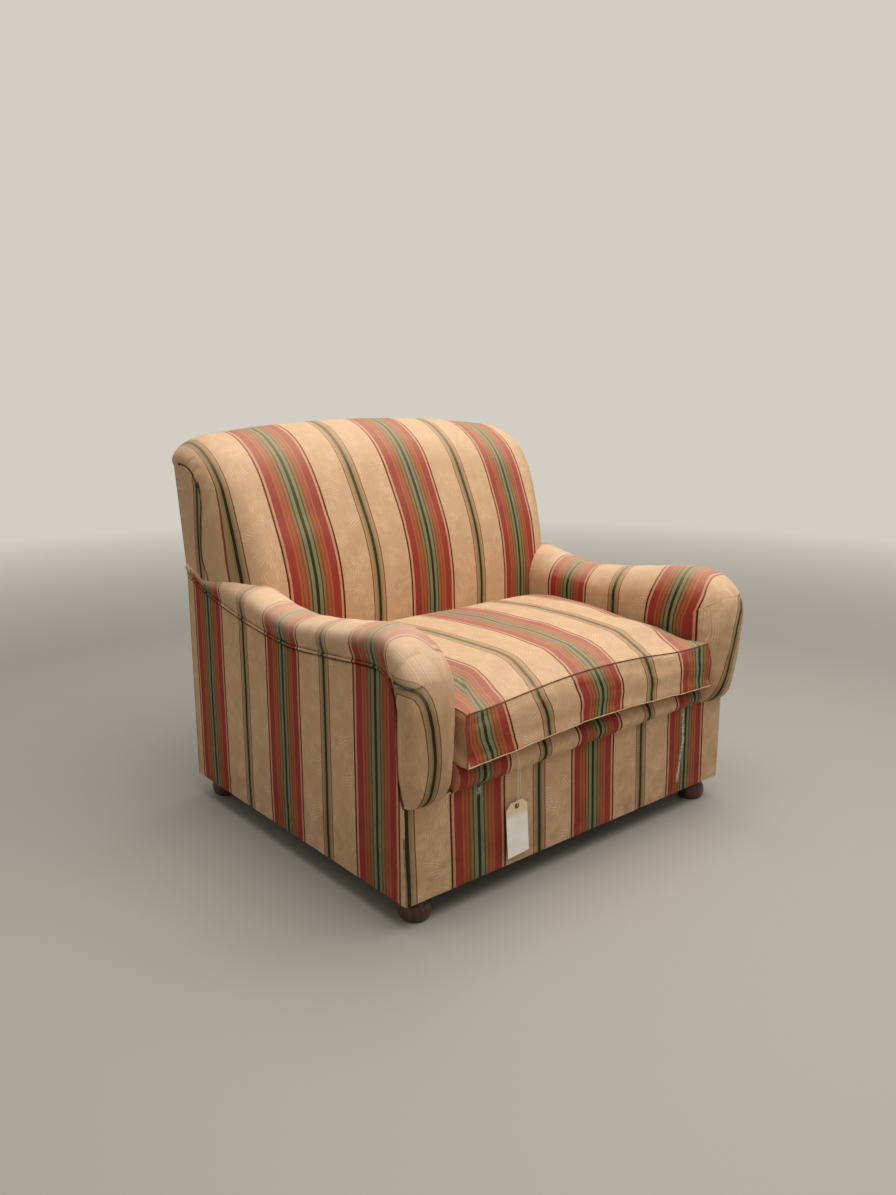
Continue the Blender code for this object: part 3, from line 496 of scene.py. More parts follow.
# %% Plain mottled materials
def mottled(name, light, dark, size, roughness, relief=0.3, metallic=0.0):
    """Two close colours in clouds of about the given size."""
    material, tree, shader = new_material(name)
    clouds = noise_value(tree, object_place(tree), 1.0 / size, 5.0, 0.6)
    colour = blend_colours(tree, remap(tree, clouds, 0.3, 0.7), dark, light)
    tree.links.new(colour, shader.inputs["Base Color"])
    rough = remap(tree, clouds, 0.3, 0.7, roughness - 0.08, roughness + 0.08)
    tree.links.new(rough, shader.inputs["Roughness"])
    shader.inputs["Metallic"].default_value = metallic
    add_relief(tree, shader, clouds, relief, 0.0005)
    return material


# %% [markdown]
# ## Cutting a cover
#
# A cover is a grid of points, and beside it the same grid on the flat cloth. Mesh and cloth map are made
# together, so the stripes follow seams and stretch as the cloth does. Where a grid closes into a ring, the
# cloth grid has one column more, because the last corner lies further along the cloth than the first.


# %% From a grid of points to a covered mesh
def grid_cover(name, points, cloth, ring=False, ends=False):
    """A quad mesh over rows of points, with the place of each corner on the flat cloth as UV map."""
    rows, columns = points.shape[:2]
    span = columns if ring else columns - 1
    faces = []
    corners = []
    for r in range(rows - 1):
        for c in range(span):
            d = (c + 1) % columns
            faces.append((r * columns + c, r * columns + d, (r + 1) * columns + d, (r + 1) * columns + c))
            corners += [cloth[r, c], cloth[r, c + 1], cloth[r + 1, c + 1], cloth[r + 1, c]]
    if ends:
        for r in (0, rows - 1):
            faces.append(tuple(r * columns + c for c in range(columns)))
            corners += [cloth[r, c] for c in range(columns)]
    mesh = bpy.data.meshes.new(name)
    mesh.from_pydata(points.reshape(-1, 3).tolist(), [], faces)
    layer = mesh.uv_layers.new(name="cloth")
    layer.data.foreach_set("uv", np.asarray(corners, np.float32).ravel())
    piece = in_scene(name, mesh)
    tidy_normals(mesh)
    return piece


def tidy_normals(mesh, angle=50):
    bm = bmesh.new()
    bm.from_mesh(mesh)
    bmesh.ops.recalc_face_normals(bm, faces=bm.faces)
    bm.to_mesh(mesh)
    bm.free()
    mesh.shade_smooth()
    mesh.set_sharp_from_angle(angle=math.radians(angle))


# %% [markdown]
# A finished mesh is still bent a little, for lumps and pleats, and it carries its wear, soil and painted
# shade as values at its points. These helpers read and move the points, and write the values.


# %% Moving points, and wear stored at them
def places(piece):
    """The piece's vertices as an array."""
    values = np.empty(len(piece.data.vertices) * 3)
    piece.data.vertices.foreach_get("co", values)
    return values.reshape(-1, 3)


def put_places(piece, values):
    piece.data.vertices.foreach_set("co", np.asarray(values, float).ravel())
    piece.data.update()


def outward(piece):
    values = np.empty(len(piece.data.vertices) * 3)
    piece.data.vertex_normals.foreach_get("vector", values)
    return values.reshape(-1, 3)


def paint(piece, name, values):
    """Stores one value per vertex for the materials to read."""
    layer = piece.data.attributes.get(name) or piece.data.attributes.new(name, "FLOAT", "POINT")
    layer.data.foreach_set("value", np.asarray(values, np.float32))


def soft_noise(points, size, seed=0.0):
    """Smooth noise from -1 to 1 at each point, with lumps of about the given size."""
    return np.array([noise.noise(Vector(p) / size + Vector((seed, seed * 1.7, -seed))) for p in points])


def fade_and_darken(piece, fade=0.0, darkening=0.12, fade_from=0.15):
    """Fades what faces up, darkens what is low and leaves nothing worn through."""
    points = places(piece)
    up = outward(piece)[:, 2]
    faded = fade * ease(fade_from, 0.95, up)
    paint(piece, "faded", faded)
    # Darker towards the bottom, over an even 0.10 of soil everywhere.
    paint(piece, "soiled", darkening * (1 - ease(0.06, 0.30, points[:, 2])) + 0.10)
    paint(piece, "worn", np.zeros(len(points)))


def distance_to(points, line):
    """Distance from each point to a line through the given places, in space."""
    line = np.asarray(line, float)
    nearest = np.full(len(points), np.inf)
    for start, end in zip(line[:-1], line[1:]):
        along = end - start
        share = np.clip((points - start) @ along / (along @ along), 0, 1)
        nearest = np.minimum(nearest, np.linalg.norm(points - start - share[:, None] * along, axis=1))
    return nearest


def mark(piece, name, line, width, amount):
    """Adds to one of the stored values along a line: wear, or soil and painted shade."""
    values = np.empty(len(piece.data.vertices), np.float32)
    piece.data.attributes[name].data.foreach_get("value", values)
    near = np.exp(-((distance_to(places(piece), line) / width) ** 2))
    paint(piece, name, np.maximum(values, amount * near))


def crease(piece, line, depth, width, darkening=1.2):
    """Presses a soft groove into a cover along a line, and darkens it with painted shade."""
    points = places(piece)
    dent = depth * np.exp(-((distance_to(points, line) / width) ** 2))
    put_places(piece, points - outward(piece) * dent[:, None])
    # The darkening along the groove is painted shade.
    mark(piece, "soiled", line, width * 0.7, darkening)


# %% [markdown]
# Each piece ends with its material, the solids that it stands for and the body that it rides on. Piping
# and sewn edges stand for no solid.


# %% Finishing a piece
def finish_cover(piece, stands_for, material=None):
    """Finishes a piece that takes the place of the chair's solids."""
    piece.data.materials.append(material or cover_cloth)
    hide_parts(*stands_for)
    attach(piece, "root")
    print(piece.name, "has", len(piece.data.polygons), "faces")


def finish_trim(piece, material):
    """Finishes piping or a sewn edge, which has no solid of its own."""
    piece.data.materials.append(material)
    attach(piece, "root")
    print(piece.name, "has", len(piece.data.polygons), "faces")


# %% [markdown]
# ## Where the stripes fall
#
# On the real chair each panel was cut so that the bands roughly line up, and decades of sitting moved them
# a little. So each panel has a short table: the place of every band and thin stripe on the chair, with its
# number in half repeats. Reading the table between its entries gives the place on the flat cloth.


# %% Stripe tables
def across_cloth(places_on_chair, first, value):
    """Place across the cloth, from the places where bands (even numbers) and thin stripes (odd) fall."""
    known = np.asarray(places_on_chair, float)
    cloth = (first + np.arange(len(known))) * HALF_REPEAT
    value = np.asarray(value, float)
    low_pull = (cloth[1] - cloth[0]) / (known[1] - known[0])
    high_pull = (cloth[-1] - cloth[-2]) / (known[-1] - known[-2])
    inside = np.interp(value, known, cloth)
    below = cloth[0] + (value - known[0]) * low_pull
    above = cloth[-1] + (value - known[-1]) * high_pull
    return np.where(value < known[0], below, np.where(value > known[-1], above, inside))


SIDE_STRIPES = (-0.5135, -0.3445, -0.1685, -0.0070, 0.1620, 0.3310, 0.5000)
FRONT_STRIPES = (-0.4950, -0.3135, -0.1435, 0.0250, 0.1900, 0.3575, 0.5270)
BACK_STRIPES = (-0.4965, -0.3120, -0.1330, 0.0400, 0.2040, 0.3500, 0.5000)
print("stripes across the front:", len(FRONT_STRIPES))

# %% [markdown]
# ## Sizes shared with the frame
#
# The covers sit on the frame, so their sizes are read from its boxes and not typed again. One thing isn't in
# the boxes: the apron's top seam has lifted towards the right, and what meets that seam lifts with it.

# %% Sizes read from the frame
apron_low, apron_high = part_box("front_apron")
HALF_WIDTH = apron_high.x
Y_FRONT = apron_low.y
Z_BASE = apron_low.z
Z_APRON = apron_high.z
panel_low, panel_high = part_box("right_outside_arm")
PANEL = panel_high.x - panel_low.x
Y_REAR = panel_high.y
Z_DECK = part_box("seat_deck")[0].z
Z_ARM_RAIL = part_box("right_arm_rail")[1].z
X_ARM_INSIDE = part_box("right_inside_arm")[0].x
Y_ARM_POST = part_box("right_arm_post")[0].y
Y_BACK_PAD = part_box("right_inside_arm")[1].y
Y_BACK_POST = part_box("right_back_post")[0].y
X_BACK_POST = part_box("right_back_post")[1].x
HALF_DEPTH = -Y_FRONT
GAP = 0.0003
APRON_RISE = ((-0.20, 0.0000), (-0.02, 0.0070), (0.11, 0.0086), (0.33, 0.0105), (0.52, 0.0118))
SIDES = (("left", -1), ("right", 1))
print(f"half width {HALF_WIDTH:.3f}, apron top {Z_APRON:.3f}, arm rail top {Z_ARM_RAIL:.3f}")


def apron_rise(x):
    """How much higher the seam over the apron runs than on the left, at each place across the chair."""
    return line_at(APRON_RISE, x)


# %% [markdown]
# ## Arms
#
# Each arm is a stuffed roll on a rail. The cover runs over the roll, turns down over the nose in a fold, and
# a facing cut the other way goes down to the apron. A loft suits it: rings that stand across the roll, tip
# forward round the nose and lie flat down the facing. The rings are closed superellipse-like sections with a
# rounder outside than inside, as horsehair settles.

# %% Stations along the roll
ROLL_LINE = (
    (0.791, 0.062, 0.032),
    (0.694, 0.052, 0.046),
    (0.564, 0.041, 0.065),
    (0.349, 0.025, 0.069),
    (0.118, 0.013, 0.061),
    (-0.092, 0.007, 0.060),
    (-0.317, 0.013, 0.062),
    (-0.527, 0.021, 0.066),
    (-0.684, 0.028, 0.070),
    (-0.798, 0.031, 0.074),
)
ROLL_REAR = (0.090, 0.026)
NOSE_LINE = (
    (0.038, 0.007, 25, 0.079, 0.020),
    (0.020, 0.021, 45, 0.083, 0.023),
    (0.008, 0.040, 66, 0.083, 0.024),
    (0.002, 0.068, 82, 0.080, 0.022),
)
NOSE_TOP_RISE = 0.033
FACING_LINE = (
    (0.78, 0.000, 0.076, 0.015),
    (0.50, 0.000, 0.071, 0.012),
    (0.25, -0.003, 0.062, 0.007),
    (0.10, -0.009, 0.046, 0.003),
    (0.00, -0.019, 0.018, 0.001),
)
Y_FACING_SEAM = -0.410
ROLL_SQUARENESS = 0.6
INNER_SQUARENESS = 0.85
INNER_SLOPE = 0.25
LAST_LEVEL_MARK = 12
SPREAD = 0.8


def roll_stations():
    """Rows of seam y and z, lean, fullness, bulge, base y and z, and inner edge, from back to front."""
    base = Z_ARM_RAIL + GAP
    front = Y_ARM_POST - GAP
    beside_post = X_BACK_POST + 2 * GAP
    ys = [share * HALF_DEPTH for share, _, _ in reversed(ROLL_LINE)] + [Y_REAR - GAP]
    rises = [rise for _, rise, _ in reversed(ROLL_LINE)] + [ROLL_REAR[0]]
    fulls = [full for _, _, full in reversed(ROLL_LINE)] + [ROLL_REAR[1]]
    rows = []
    for y, inner in (
        (Y_REAR - GAP, beside_post),
        (Y_BACK_POST - 2 * GAP, beside_post),
        (Y_BACK_PAD - 0.0157, X_ARM_INSIDE),
    ):
        rise, full = np.interp(y, ys, rises), np.interp(y, ys, fulls)
        rows.append((y, Z_ARM_RAIL + rise, 0, full, 0.009, y, base, inner))
    for share, rise, full in ROLL_LINE:
        y = share * HALF_DEPTH
        bulge = 0.012 + 0.005 * ease(0.0, -0.8, share)
        rows.append((y, Z_ARM_RAIL + rise, 0, full, bulge, y, base, X_ARM_INSIDE))
    feet = [(front + 0.0075, base), (front, base), (front, base - 0.0075), (front, base - 0.030)]
    for (setback, drop, lean, full, bulge), (y, z) in zip(NOSE_LINE, feet):
        top = Z_ARM_RAIL + NOSE_TOP_RISE - drop
        rows.append((Y_FACING_SEAM + setback, top, lean, full, bulge, y, z, X_ARM_INSIDE))
    bottom = Z_APRON + GAP
    for share, setback, full, bulge in FACING_LINE:
        z = bottom + (top - bottom) * share
        rows.append((Y_FACING_SEAM + setback, z, 90, full, bulge, front, z, X_ARM_INSIDE))
    return np.array(rows, float)


STATIONS = roll_stations()
FINE_STEPS = 20
fine_stations = smooth_line(STATIONS, FINE_STEPS)
fine_marks = np.arange(len(fine_stations)) / FINE_STEPS
for column in (2, 5, 6, 7):
    fine_stations[:, column] = np.interp(fine_marks, np.arange(len(STATIONS)), STATIONS[:, column])


def stations_at(marks):
    """Station rows at any place along the arm; whole marks are the rows of the tables."""
    return np.stack([np.interp(marks, fine_marks, values) for values in fine_stations.T], axis=-1)


print("stations along an arm:", len(STATIONS))

# %% Points of the roll
RING_STEPS = 72
RING_ANGLES = np.linspace(0, math.pi, RING_STEPS + 1)


def roll_points(rows, angle):
    """Points at one angle round the roll, one for each station row; angle 0 is the outer seam."""
    y_seam, z_seam, lean, full, bulge, y_base, z_base, inner = rows.T
    lean = np.radians(lean)
    centre = (inner + HALF_WIDTH) / 2
    half = (HALF_WIDTH - inner) / 2
    across = math.cos(angle)
    reach = max(0.0, math.sin(angle)) ** SPREAD
    crown_y = y_seam - full * np.sin(lean)
    crown_z = z_seam + full * np.cos(lean)
    if across > 0:
        x = centre + half * across**ROLL_SQUARENESS + bulge * math.sin(2 * angle)
        from_y, from_z = y_seam, z_seam
    else:
        x = centre - half * abs(across) ** INNER_SQUARENESS
        reach *= 1 - INNER_SLOPE * abs(across)
        from_y, from_z = y_base, z_base
    return np.stack([x, from_y + (crown_y - from_y) * reach, from_z + (crown_z - from_z) * reach], axis=1)


def roll_height(x, y):
    """Height of the roll's surface over a point of the arm, for what rests on it."""
    level = fine_stations[fine_marks <= LAST_LEVEL_MARK][::-1]
    seam = np.interp(y, level[:, 0], level[:, 1])
    full = np.interp(y, level[:, 0], level[:, 3])
    centre = (X_ARM_INSIDE + HALF_WIDTH) / 2
    half = (HALF_WIDTH - X_ARM_INSIDE) / 2
    off = np.clip((np.abs(x) - centre) / half, -0.98, 0.90)
    across = np.abs(off) ** (1 / np.where(off > 0, ROLL_SQUARENESS, INNER_SQUARENESS))
    reach = (1 - across**2) ** (SPREAD / 2)
    inside = Z_ARM_RAIL + (seam + full - Z_ARM_RAIL) * reach * (1 - INNER_SLOPE * across)
    return np.where(off > 0, seam + full * reach, inside)


# %% [markdown]
# ## The seam under the roll
#
# The roll's cover and the outside panel meet in a seam. It runs just under the lower edge of the roll, so it
# is read from the same stations. The foot of each facing ends on the apron, and lifts where the apron does.


# %% The seam under the roll
NOSE_START_Y = -0.40
SHOULDER = 0.50


def toward_foot(z):
    """0 at the shoulder of the facing and above it, 1 where the facing ends on the apron."""
    return np.clip((SHOULDER - z) / (SHOULDER - Z_APRON), 0, 1)


def seam_line(side):
    """The seam between roll and outside panel in Y and Z, from the back to the foot of the facing."""
    lean = np.radians(fine_stations[:, 2])
    line = fine_stations[:, :2] + GAP * np.stack([np.sin(lean), -np.cos(lean)], axis=1)
    in_front = line[:, 0] < NOSE_START_Y
    line[:, 1] += in_front * toward_foot(line[:, 1]) * apron_rise(side * HALF_WIDTH)
    return line


# %% [markdown]
# ## Stripes and fold on the nose
#
# The stripes cross the roll at fixed places along the arm. Over the nose the cloth is pulled round the corner
# unevenly: tight on the outside, where a fold takes up the slack, and loose on the inside. The facing below
# the fold is the same cloth, but there a thin stripe bows down the front. The grid of each arm is sheared so
# that one of its rows lies along the fold, and the cover and the facing are the two sides of that row.

# %% Where the fold and the stripes run on the nose
FOLD_MARK = 14.0
FOLD_REACH = 2.2
FOLD_LIFT = 0.0030
FOLD_LINE = {
    -1: (
        (-0.3998, 0.4900),
        (-0.4281, 0.4972),
        (-0.4420, 0.4996),
        (-0.4679, 0.5003),
        (-0.4725, 0.5035),
        (-0.4747, 0.5072),
    ),
    1: ((-0.4000, 0.5200), (-0.4300, 0.5280), (-0.4740, 0.5290)),
}
FOLD_INSIDE = {-1: 0.492, 1: 0.484}
NOSE_START = {-1: -0.3445, 1: -0.3450}
NOSE_PULL_X = (0.384, 0.400, 0.413, 0.440, 0.464, 0.491, 0.505)
NOSE_PULL = {
    -1: (0.86, 0.75, 0.70, 0.62, 1.00, 1.25, 1.35),
    1: (0.90, 0.92, 0.98, 1.06, 1.16, 1.25, 1.30),
}
FACING_PULL = 0.85
BAND_SIDE_U = -2 * HALF_REPEAT
THIN_U = -3 * HALF_REPEAT
THIN_REACH = 0.027
THIN_STRETCH = 1.27
GROUND_REACH = 0.090
GROUND_U = -0.4550
FACING_PATH = {
    -1: (
        (0.5400, 0.4990),
        (0.5180, 0.5010),
        (0.5109, 0.5001),
        (0.4975, 0.4918),
        (0.4887, 0.4755),
        (0.4828, 0.4528),
        (0.4759, 0.4228),
        (0.4696, 0.3823),
        (0.4660, 0.3515),
        (0.4664, 0.3211),
        (0.4682, 0.2898),
        (0.4710, 0.2500),
    ),
    1: (
        (0.5300, 0.5280),
        (0.5050, 0.5220),
        (0.4900, 0.5100),
        (0.4821, 0.4922),
        (0.4640, 0.4568),
        (0.4574, 0.4156),
        (0.4527, 0.3834),
        (0.4481, 0.3486),
        (0.4402, 0.3084),
        (0.4270, 0.2500),
    ),
}
RIGHT_BAND_SHIFT = 0.019
ROW_MARKS = np.concatenate(
    [
        np.arange(0, 12, 0.1),
        np.arange(12, 13.85, 0.08),
        [13.90, 13.95, 13.98, 14.00, 14.02, 14.05, 14.10],
        np.arange(14.18, 17, 0.08),
        np.linspace(17, 21, 41),
    ]
)
FOLD_ROW = int(np.flatnonzero(ROW_MARKS == FOLD_MARK)[0])


# %% [markdown]
# How far a point lies from a bowed line, and on which side, is just what a stripe along that line needs.
# An arm's grid finds where each of its lines crosses the fold, and shifts the rows until one follows it.


# %% Distance beside a line, and an arm's grid
def beside_line(points, line):
    """Distance from each 2-D point to a line, positive on the line's left."""
    line = np.asarray(line, float)
    nearest = np.full(len(points), np.inf)
    signed = np.zeros(len(points))
    for start, end in zip(line[:-1], line[1:]):
        along = end - start
        share = np.clip((points - start) @ along / (along @ along), 0, 1)
        offset = points - start - share[:, None] * along
        distance = np.linalg.norm(offset, axis=1)
        left = np.sign(along[0] * offset[:, 1] - along[1] * offset[:, 0])
        closer = distance < nearest
        nearest = np.where(closer, distance, nearest)
        signed = np.where(closer, distance * left, signed)
    return signed


def fold_mark(angle, side):
    """The place along the arm where one line of the cover crosses the fold."""
    marks = np.linspace(12, 17, 200)
    line = roll_points(stations_at(marks), angle)
    below = line[:, 2] < np.interp(-line[:, 1], *zip(*[(-y, z) for y, z in FOLD_LINE[side]]))
    return float(marks[np.argmax(below)]) if below.any() else FOLD_MARK


def arm_grid(side):
    """Points of a whole arm cover, row by row from the back to the foot of the facing."""
    tent = np.clip(1 - np.abs(ROW_MARKS - FOLD_MARK) / FOLD_REACH, 0, 1)
    nominal = [float(roll_points(STATIONS[14:15], angle)[0, 0]) for angle in RING_ANGLES]
    shifts = np.array([fold_mark(angle, side) - FOLD_MARK for angle in RING_ANGLES])
    peak = int(np.argmax(nominal))
    last = next(k for k in range(peak, len(nominal)) if nominal[k] < FOLD_INSIDE[side])
    shifts[last:] = shifts[last]
    shifts = np.convolve(np.pad(shifts, 2, mode="edge"), np.ones(5) / 5, mode="valid")
    rows = [stations_at(ROW_MARKS + np.clip(shift, -1.9, 1.9) * tent) for shift in shifts]
    under = rows[0]
    edge = np.full(len(under), HALF_WIDTH - PANEL - GAP)
    columns = [np.stack([edge, under[:, 5], under[:, 6]], axis=1)]
    columns.append(np.stack([edge, under[:, 0], under[:, 1]], axis=1))
    columns += [roll_points(row, angle) for row, angle in zip(rows, RING_ANGLES)]
    return np.stack(columns, axis=1)


# %% [markdown]
# Three rules give the place across the cloth: the stripes at their places along the arm, the pulled cloth
# over the nose, and the thin stripe that bows down the facing.


# %% Place across the cloth on arm, nose and facing
def side_cloth(y, z, side):
    """Place across the cloth on an arm; the right arm's front band has been dragged forward at the top."""
    if side < 0:
        return across_cloth(SIDE_STRIPES, -3, y)
    dragged = RIGHT_BAND_SHIFT * ease(0.45, 0.57, z) * ease(-0.20, -0.30, y)
    return across_cloth(SIDE_STRIPES, -3, y + dragged)


def thin_stripe_beside(grid, side):
    """Signed distance in X and Z from the stripe that bows down the facing; positive inside and above."""
    flat = grid[:, :, [0, 2]].reshape(-1, 2)
    return THIN_STRETCH * side * beside_line(flat, FACING_PATH[side]).reshape(grid.shape[:2])


def nose_cloth(grid, side):
    """Place across the cloth for the rows down to the fold."""
    u = side_cloth(grid[:, :, 1], grid[:, :, 2], side)
    beside = thin_stripe_beside(grid, side)
    front = grid[:, :, 1] < NOSE_START_Y
    for c in range(grid.shape[1]):
        line = grid[: FOLD_ROW + 1, c]
        along = lengths_along(line)
        bent = int(np.argmin(line[:, 1])) + 1
        travelled = along - np.interp(-BAND_SIDE_U, -u[:bent, c], along[:bent])
        x = float(np.median(grid[FOLD_ROW - 20 : FOLD_ROW, c, 0]))
        pulled = BAND_SIDE_U - travelled * np.interp(x, NOSE_PULL_X, NOSE_PULL[side])
        u[: FOLD_ROW + 1, c] = np.where(travelled > 0, np.maximum(pulled, GROUND_U), u[: FOLD_ROW + 1, c])
    near = front & (grid[:, :, 2] < 0.53) & (beside < THIN_REACH) & (grid[:, :, 0] > 0.44)
    return np.where(near, THIN_U + np.maximum(beside, -GROUND_REACH), u)


FACING_INNER_X = 0.402
THIN_KEEP_OFF = 0.024


def facing_cloth(grid, side):
    """Place across the cloth below the fold, from the distance to the stripe that bows down the facing."""
    beside = thin_stripe_beside(grid, side)
    straight = np.clip(FACING_PATH[side][-4][0] - grid[:, :, 0], -GROUND_REACH, GROUND_REACH)
    plain = np.sign(beside) * np.maximum(np.abs(straight), THIN_KEEP_OFF)
    u = THIN_U + np.where(np.abs(beside) < THIN_REACH, beside, plain)
    pulled = BAND_SIDE_U - (NOSE_START[side] - grid[:, :, 1]) * FACING_PULL
    return np.where(grid[:, :, 0] < FACING_INNER_X, np.maximum(pulled, GROUND_U), u)


# %% [markdown]
# Both halves of an arm come from one grid, cut at the fold. There the cover stands 3 mm proud and the
# facing is tucked in a little, as a real fold would be. The small lumps of the filling come next, then
# fading, soil, painted shade on the front faces and along the fold and seam, and one crease over the nose
# that is darkened with painted shade.


# %% Cover and facing of each arm
NOSE_CREASE = {
    -1: (
        (0.5011, -0.3950, 0.5001),
        (0.5129, -0.4200, 0.5217),
        (0.5143, -0.4310, 0.5338),
        (0.5085, -0.4384, 0.5437),
        (0.4990, -0.4408, 0.5518),
        (0.4870, -0.4429, 0.5556),
        (0.4757, -0.4431, 0.5591),
    ),
    1: ((0.5080, -0.4380, 0.5510), (0.4941, -0.4398, 0.5578)),
}
RIGHT_FLARE = 0.008
FOLD_TUCK = 0.0012
NOSE_CENTRE_Z = 0.455
ARM_FADE = {-1: 0.60, 1: 0.40}


def build_arm(name, side):
    grid = arm_grid(side)
    around = np.cumsum(np.linalg.norm(np.diff(grid, axis=1, prepend=grid[:, :1]), axis=2), axis=1)
    outer = ease(FOLD_INSIDE[side] - 0.006, FOLD_INSIDE[side] + 0.008, grid[:, :, 0])
    away = np.stack([0 * outer, grid[:, :, 1] - Y_ARM_POST, grid[:, :, 2] - NOSE_CENTRE_Z], axis=2)
    away /= np.linalg.norm(away, axis=2, keepdims=True) + 1e-9
    step = ROW_MARKS - FOLD_MARK
    lift = np.where(step <= 0, FOLD_LIFT * np.exp(step / 0.45), -FOLD_TUCK * np.exp(-step / 0.25))
    folded = grid + away * (lift[:, None] * outer)[:, :, None]
    u = nose_cloth(grid, side)
    below = facing_cloth(grid, side)
    pieces = []
    for label, rows, across in (
        ("cover", slice(0, FOLD_ROW + 1), u),
        ("facing", slice(FOLD_ROW, len(grid)), below),
    ):
        points = folded[rows] * [side, 1, 1]
        if side > 0:
            swell = RIGHT_FLARE * ease(-0.30, -0.43, points[:, :, 1]) * ease(0.42, 0.54, points[:, :, 2])
            points[:, :, 0] += swell * ease(0.45, 0.51, points[:, :, 0])
        if label == "facing":
            points[:, :, 2] += toward_foot(points[:, :, 2]) * apron_rise(points[:, :, 0])
        cloth = np.stack([across[rows], around[rows]], axis=2)
        cloth = np.concatenate([cloth, cloth[:, :1]], axis=1)
        piece = grid_cover(f"{name}_arm_{label}", points, cloth, ring=True, ends=True)
        spots = places(piece)
        lumps = 0.0014 * soft_noise(spots, 0.045, 3.0 + side) + 0.0006 * soft_noise(spots, 0.018, 8.0)
        at_edge = (np.abs(spots[:, 0]) < X_ARM_INSIDE + 0.004) & (spots[:, 1] > Y_ARM_POST - 0.01)
        lumps *= np.where(at_edge, ease(0.0, 0.03, spots[:, 2] - Z_ARM_RAIL), 1.0)
        put_places(piece, spots + outward(piece) * lumps[:, None])
        fade_and_darken(piece, fade=ARM_FADE[side], fade_from=0.20)
        points = places(piece)
        # Painted shade on the nose and facing, which face away from the overhead light, darker still low
        # down; the 0.10 under it is soil.
        in_front = ease(-0.38, -0.42, points[:, 1]) * ease(0.545, 0.44, points[:, 2])
        paint(piece, "soiled", 0.10 + 0.24 * in_front + 0.10 * in_front * ease(0.40, 0.28, points[:, 2]))
        if side < 0:
            up = outward(piece)[:, 2]
            outside = ease(0.42, 0.47, np.abs(points[:, 0])) * (1 - in_front)
            bleached = np.maximum(ease(0.20, 0.95, up), outside * ease(-0.55, 0.90, up))
            paint(piece, "faded", ARM_FADE[side] * bleached)
        # Dark lines in the fold and along the seam under the roll are painted shadow.
        fold = [(side * 0.5165, y, z) for y, z in FOLD_LINE[side][1:]]
        seam = [(side * HALF_WIDTH, y, z + 0.002) for y, z in seam_line(side)[::8]]
        mark(piece, "soiled", fold, 0.0022, 0.8)
        mark(piece, "soiled", seam, 0.0045, 1.0)
        # The nose crease is darkened with painted shade.
        if label == "cover":
            crease(piece, [(side * x, y, z) for x, y, z in NOSE_CREASE[side]], 0.0018, 0.0056, 0.55)
        pieces.append(piece)
    return pieces


for name, side in SIDES:
    for piece in build_arm(name, side):
        finish_cover(piece, [f"{name}_arm_roll"])

# %% [markdown]
# ## Inside arms
#
# Below the roll the padding continues flat, down to the seat. It is a thin pad whose face carries the same
# stripes as the roll above it.


# %% Inside arm pads
def build_inside_arm(name, side):
    low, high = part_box(f"{name}_inside_arm")
    ys = np.linspace(low.y, high.y, 100)
    levels = np.linspace(low.z, high.z + 0.004, 26)
    near = X_ARM_INSIDE + 0.0002
    far = max(abs(low.x), abs(high.x))
    points = []
    for y in ys:
        face = [(side * near, y, z) for z in levels]
        rear = [(side * far, y, min(z, high.z)) for z in levels[::-1]]
        points.append(face + rear)
    points = np.array(points)
    u = side_cloth(points[:, :, 1], points[:, :, 2], side)
    u = np.concatenate([u, u[:, :1]], axis=1)
    v = np.concatenate([points[:, :, 2], points[:, :1, 2]], axis=1)
    piece = grid_cover(f"{name}_inside_arm_cover", points, np.stack([u, v], axis=2), ring=True, ends=True)
    fade_and_darken(piece)
    return piece


for name, side in SIDES:
    piece = build_inside_arm(name, side)
    finish_cover(piece, [f"{name}_inside_arm"])

# %% [markdown]
# ## Outside arms
#
# The outside of each arm is a single stretched cloth, tacked along the base, up the rear and under the roll,
# and turned in along the facing. Four edge lines bound it, and a Coons patch fills them with an even grid:
# each inside point is blended from the two edges it lies between in both directions.


# %% Coons patch between four edges
def coons(bottom, top, left, right):
    """Grid between four edge lines that meet at the corners; bottom and top run from left to right."""
    s = np.linspace(0, 1, len(bottom))[:, None, None]
    t = np.linspace(0, 1, len(left))[None, :, None]
    across = (1 - t) * bottom[:, None] + t * top[:, None]
    upward = (1 - s) * left[None] + s * right[None]
    low_corners = (1 - s) * (1 - t) * bottom[0] + s * (1 - t) * bottom[-1]
    corners = low_corners + (1 - s) * t * top[0] + s * t * top[-1]
    return across + upward - corners


def even_line(points, count):
    """The same line with its points evenly spaced."""
    points = np.asarray(points, float)
    along = lengths_along(points)
    steps = np.linspace(0, along[-1], count)
    return np.stack([np.interp(steps, along, points[:, k]) for k in range(points.shape[1])], axis=1)


def thick_cover(name, outer, shift, cloth):
    """A grid with a second one behind it and edges between: a cloth with its lining, closed all round."""
    inner = outer + np.asarray(shift)
    rings = np.concatenate([outer, inner[:, ::-1]], axis=1)
    both = np.concatenate([cloth, cloth[:, ::-1], cloth[:, :1]], axis=1)
    return grid_cover(name, rings, both, ring=True, ends=True)


# %% Outside arm panels
SEAM_TURN_MARK = 14.6


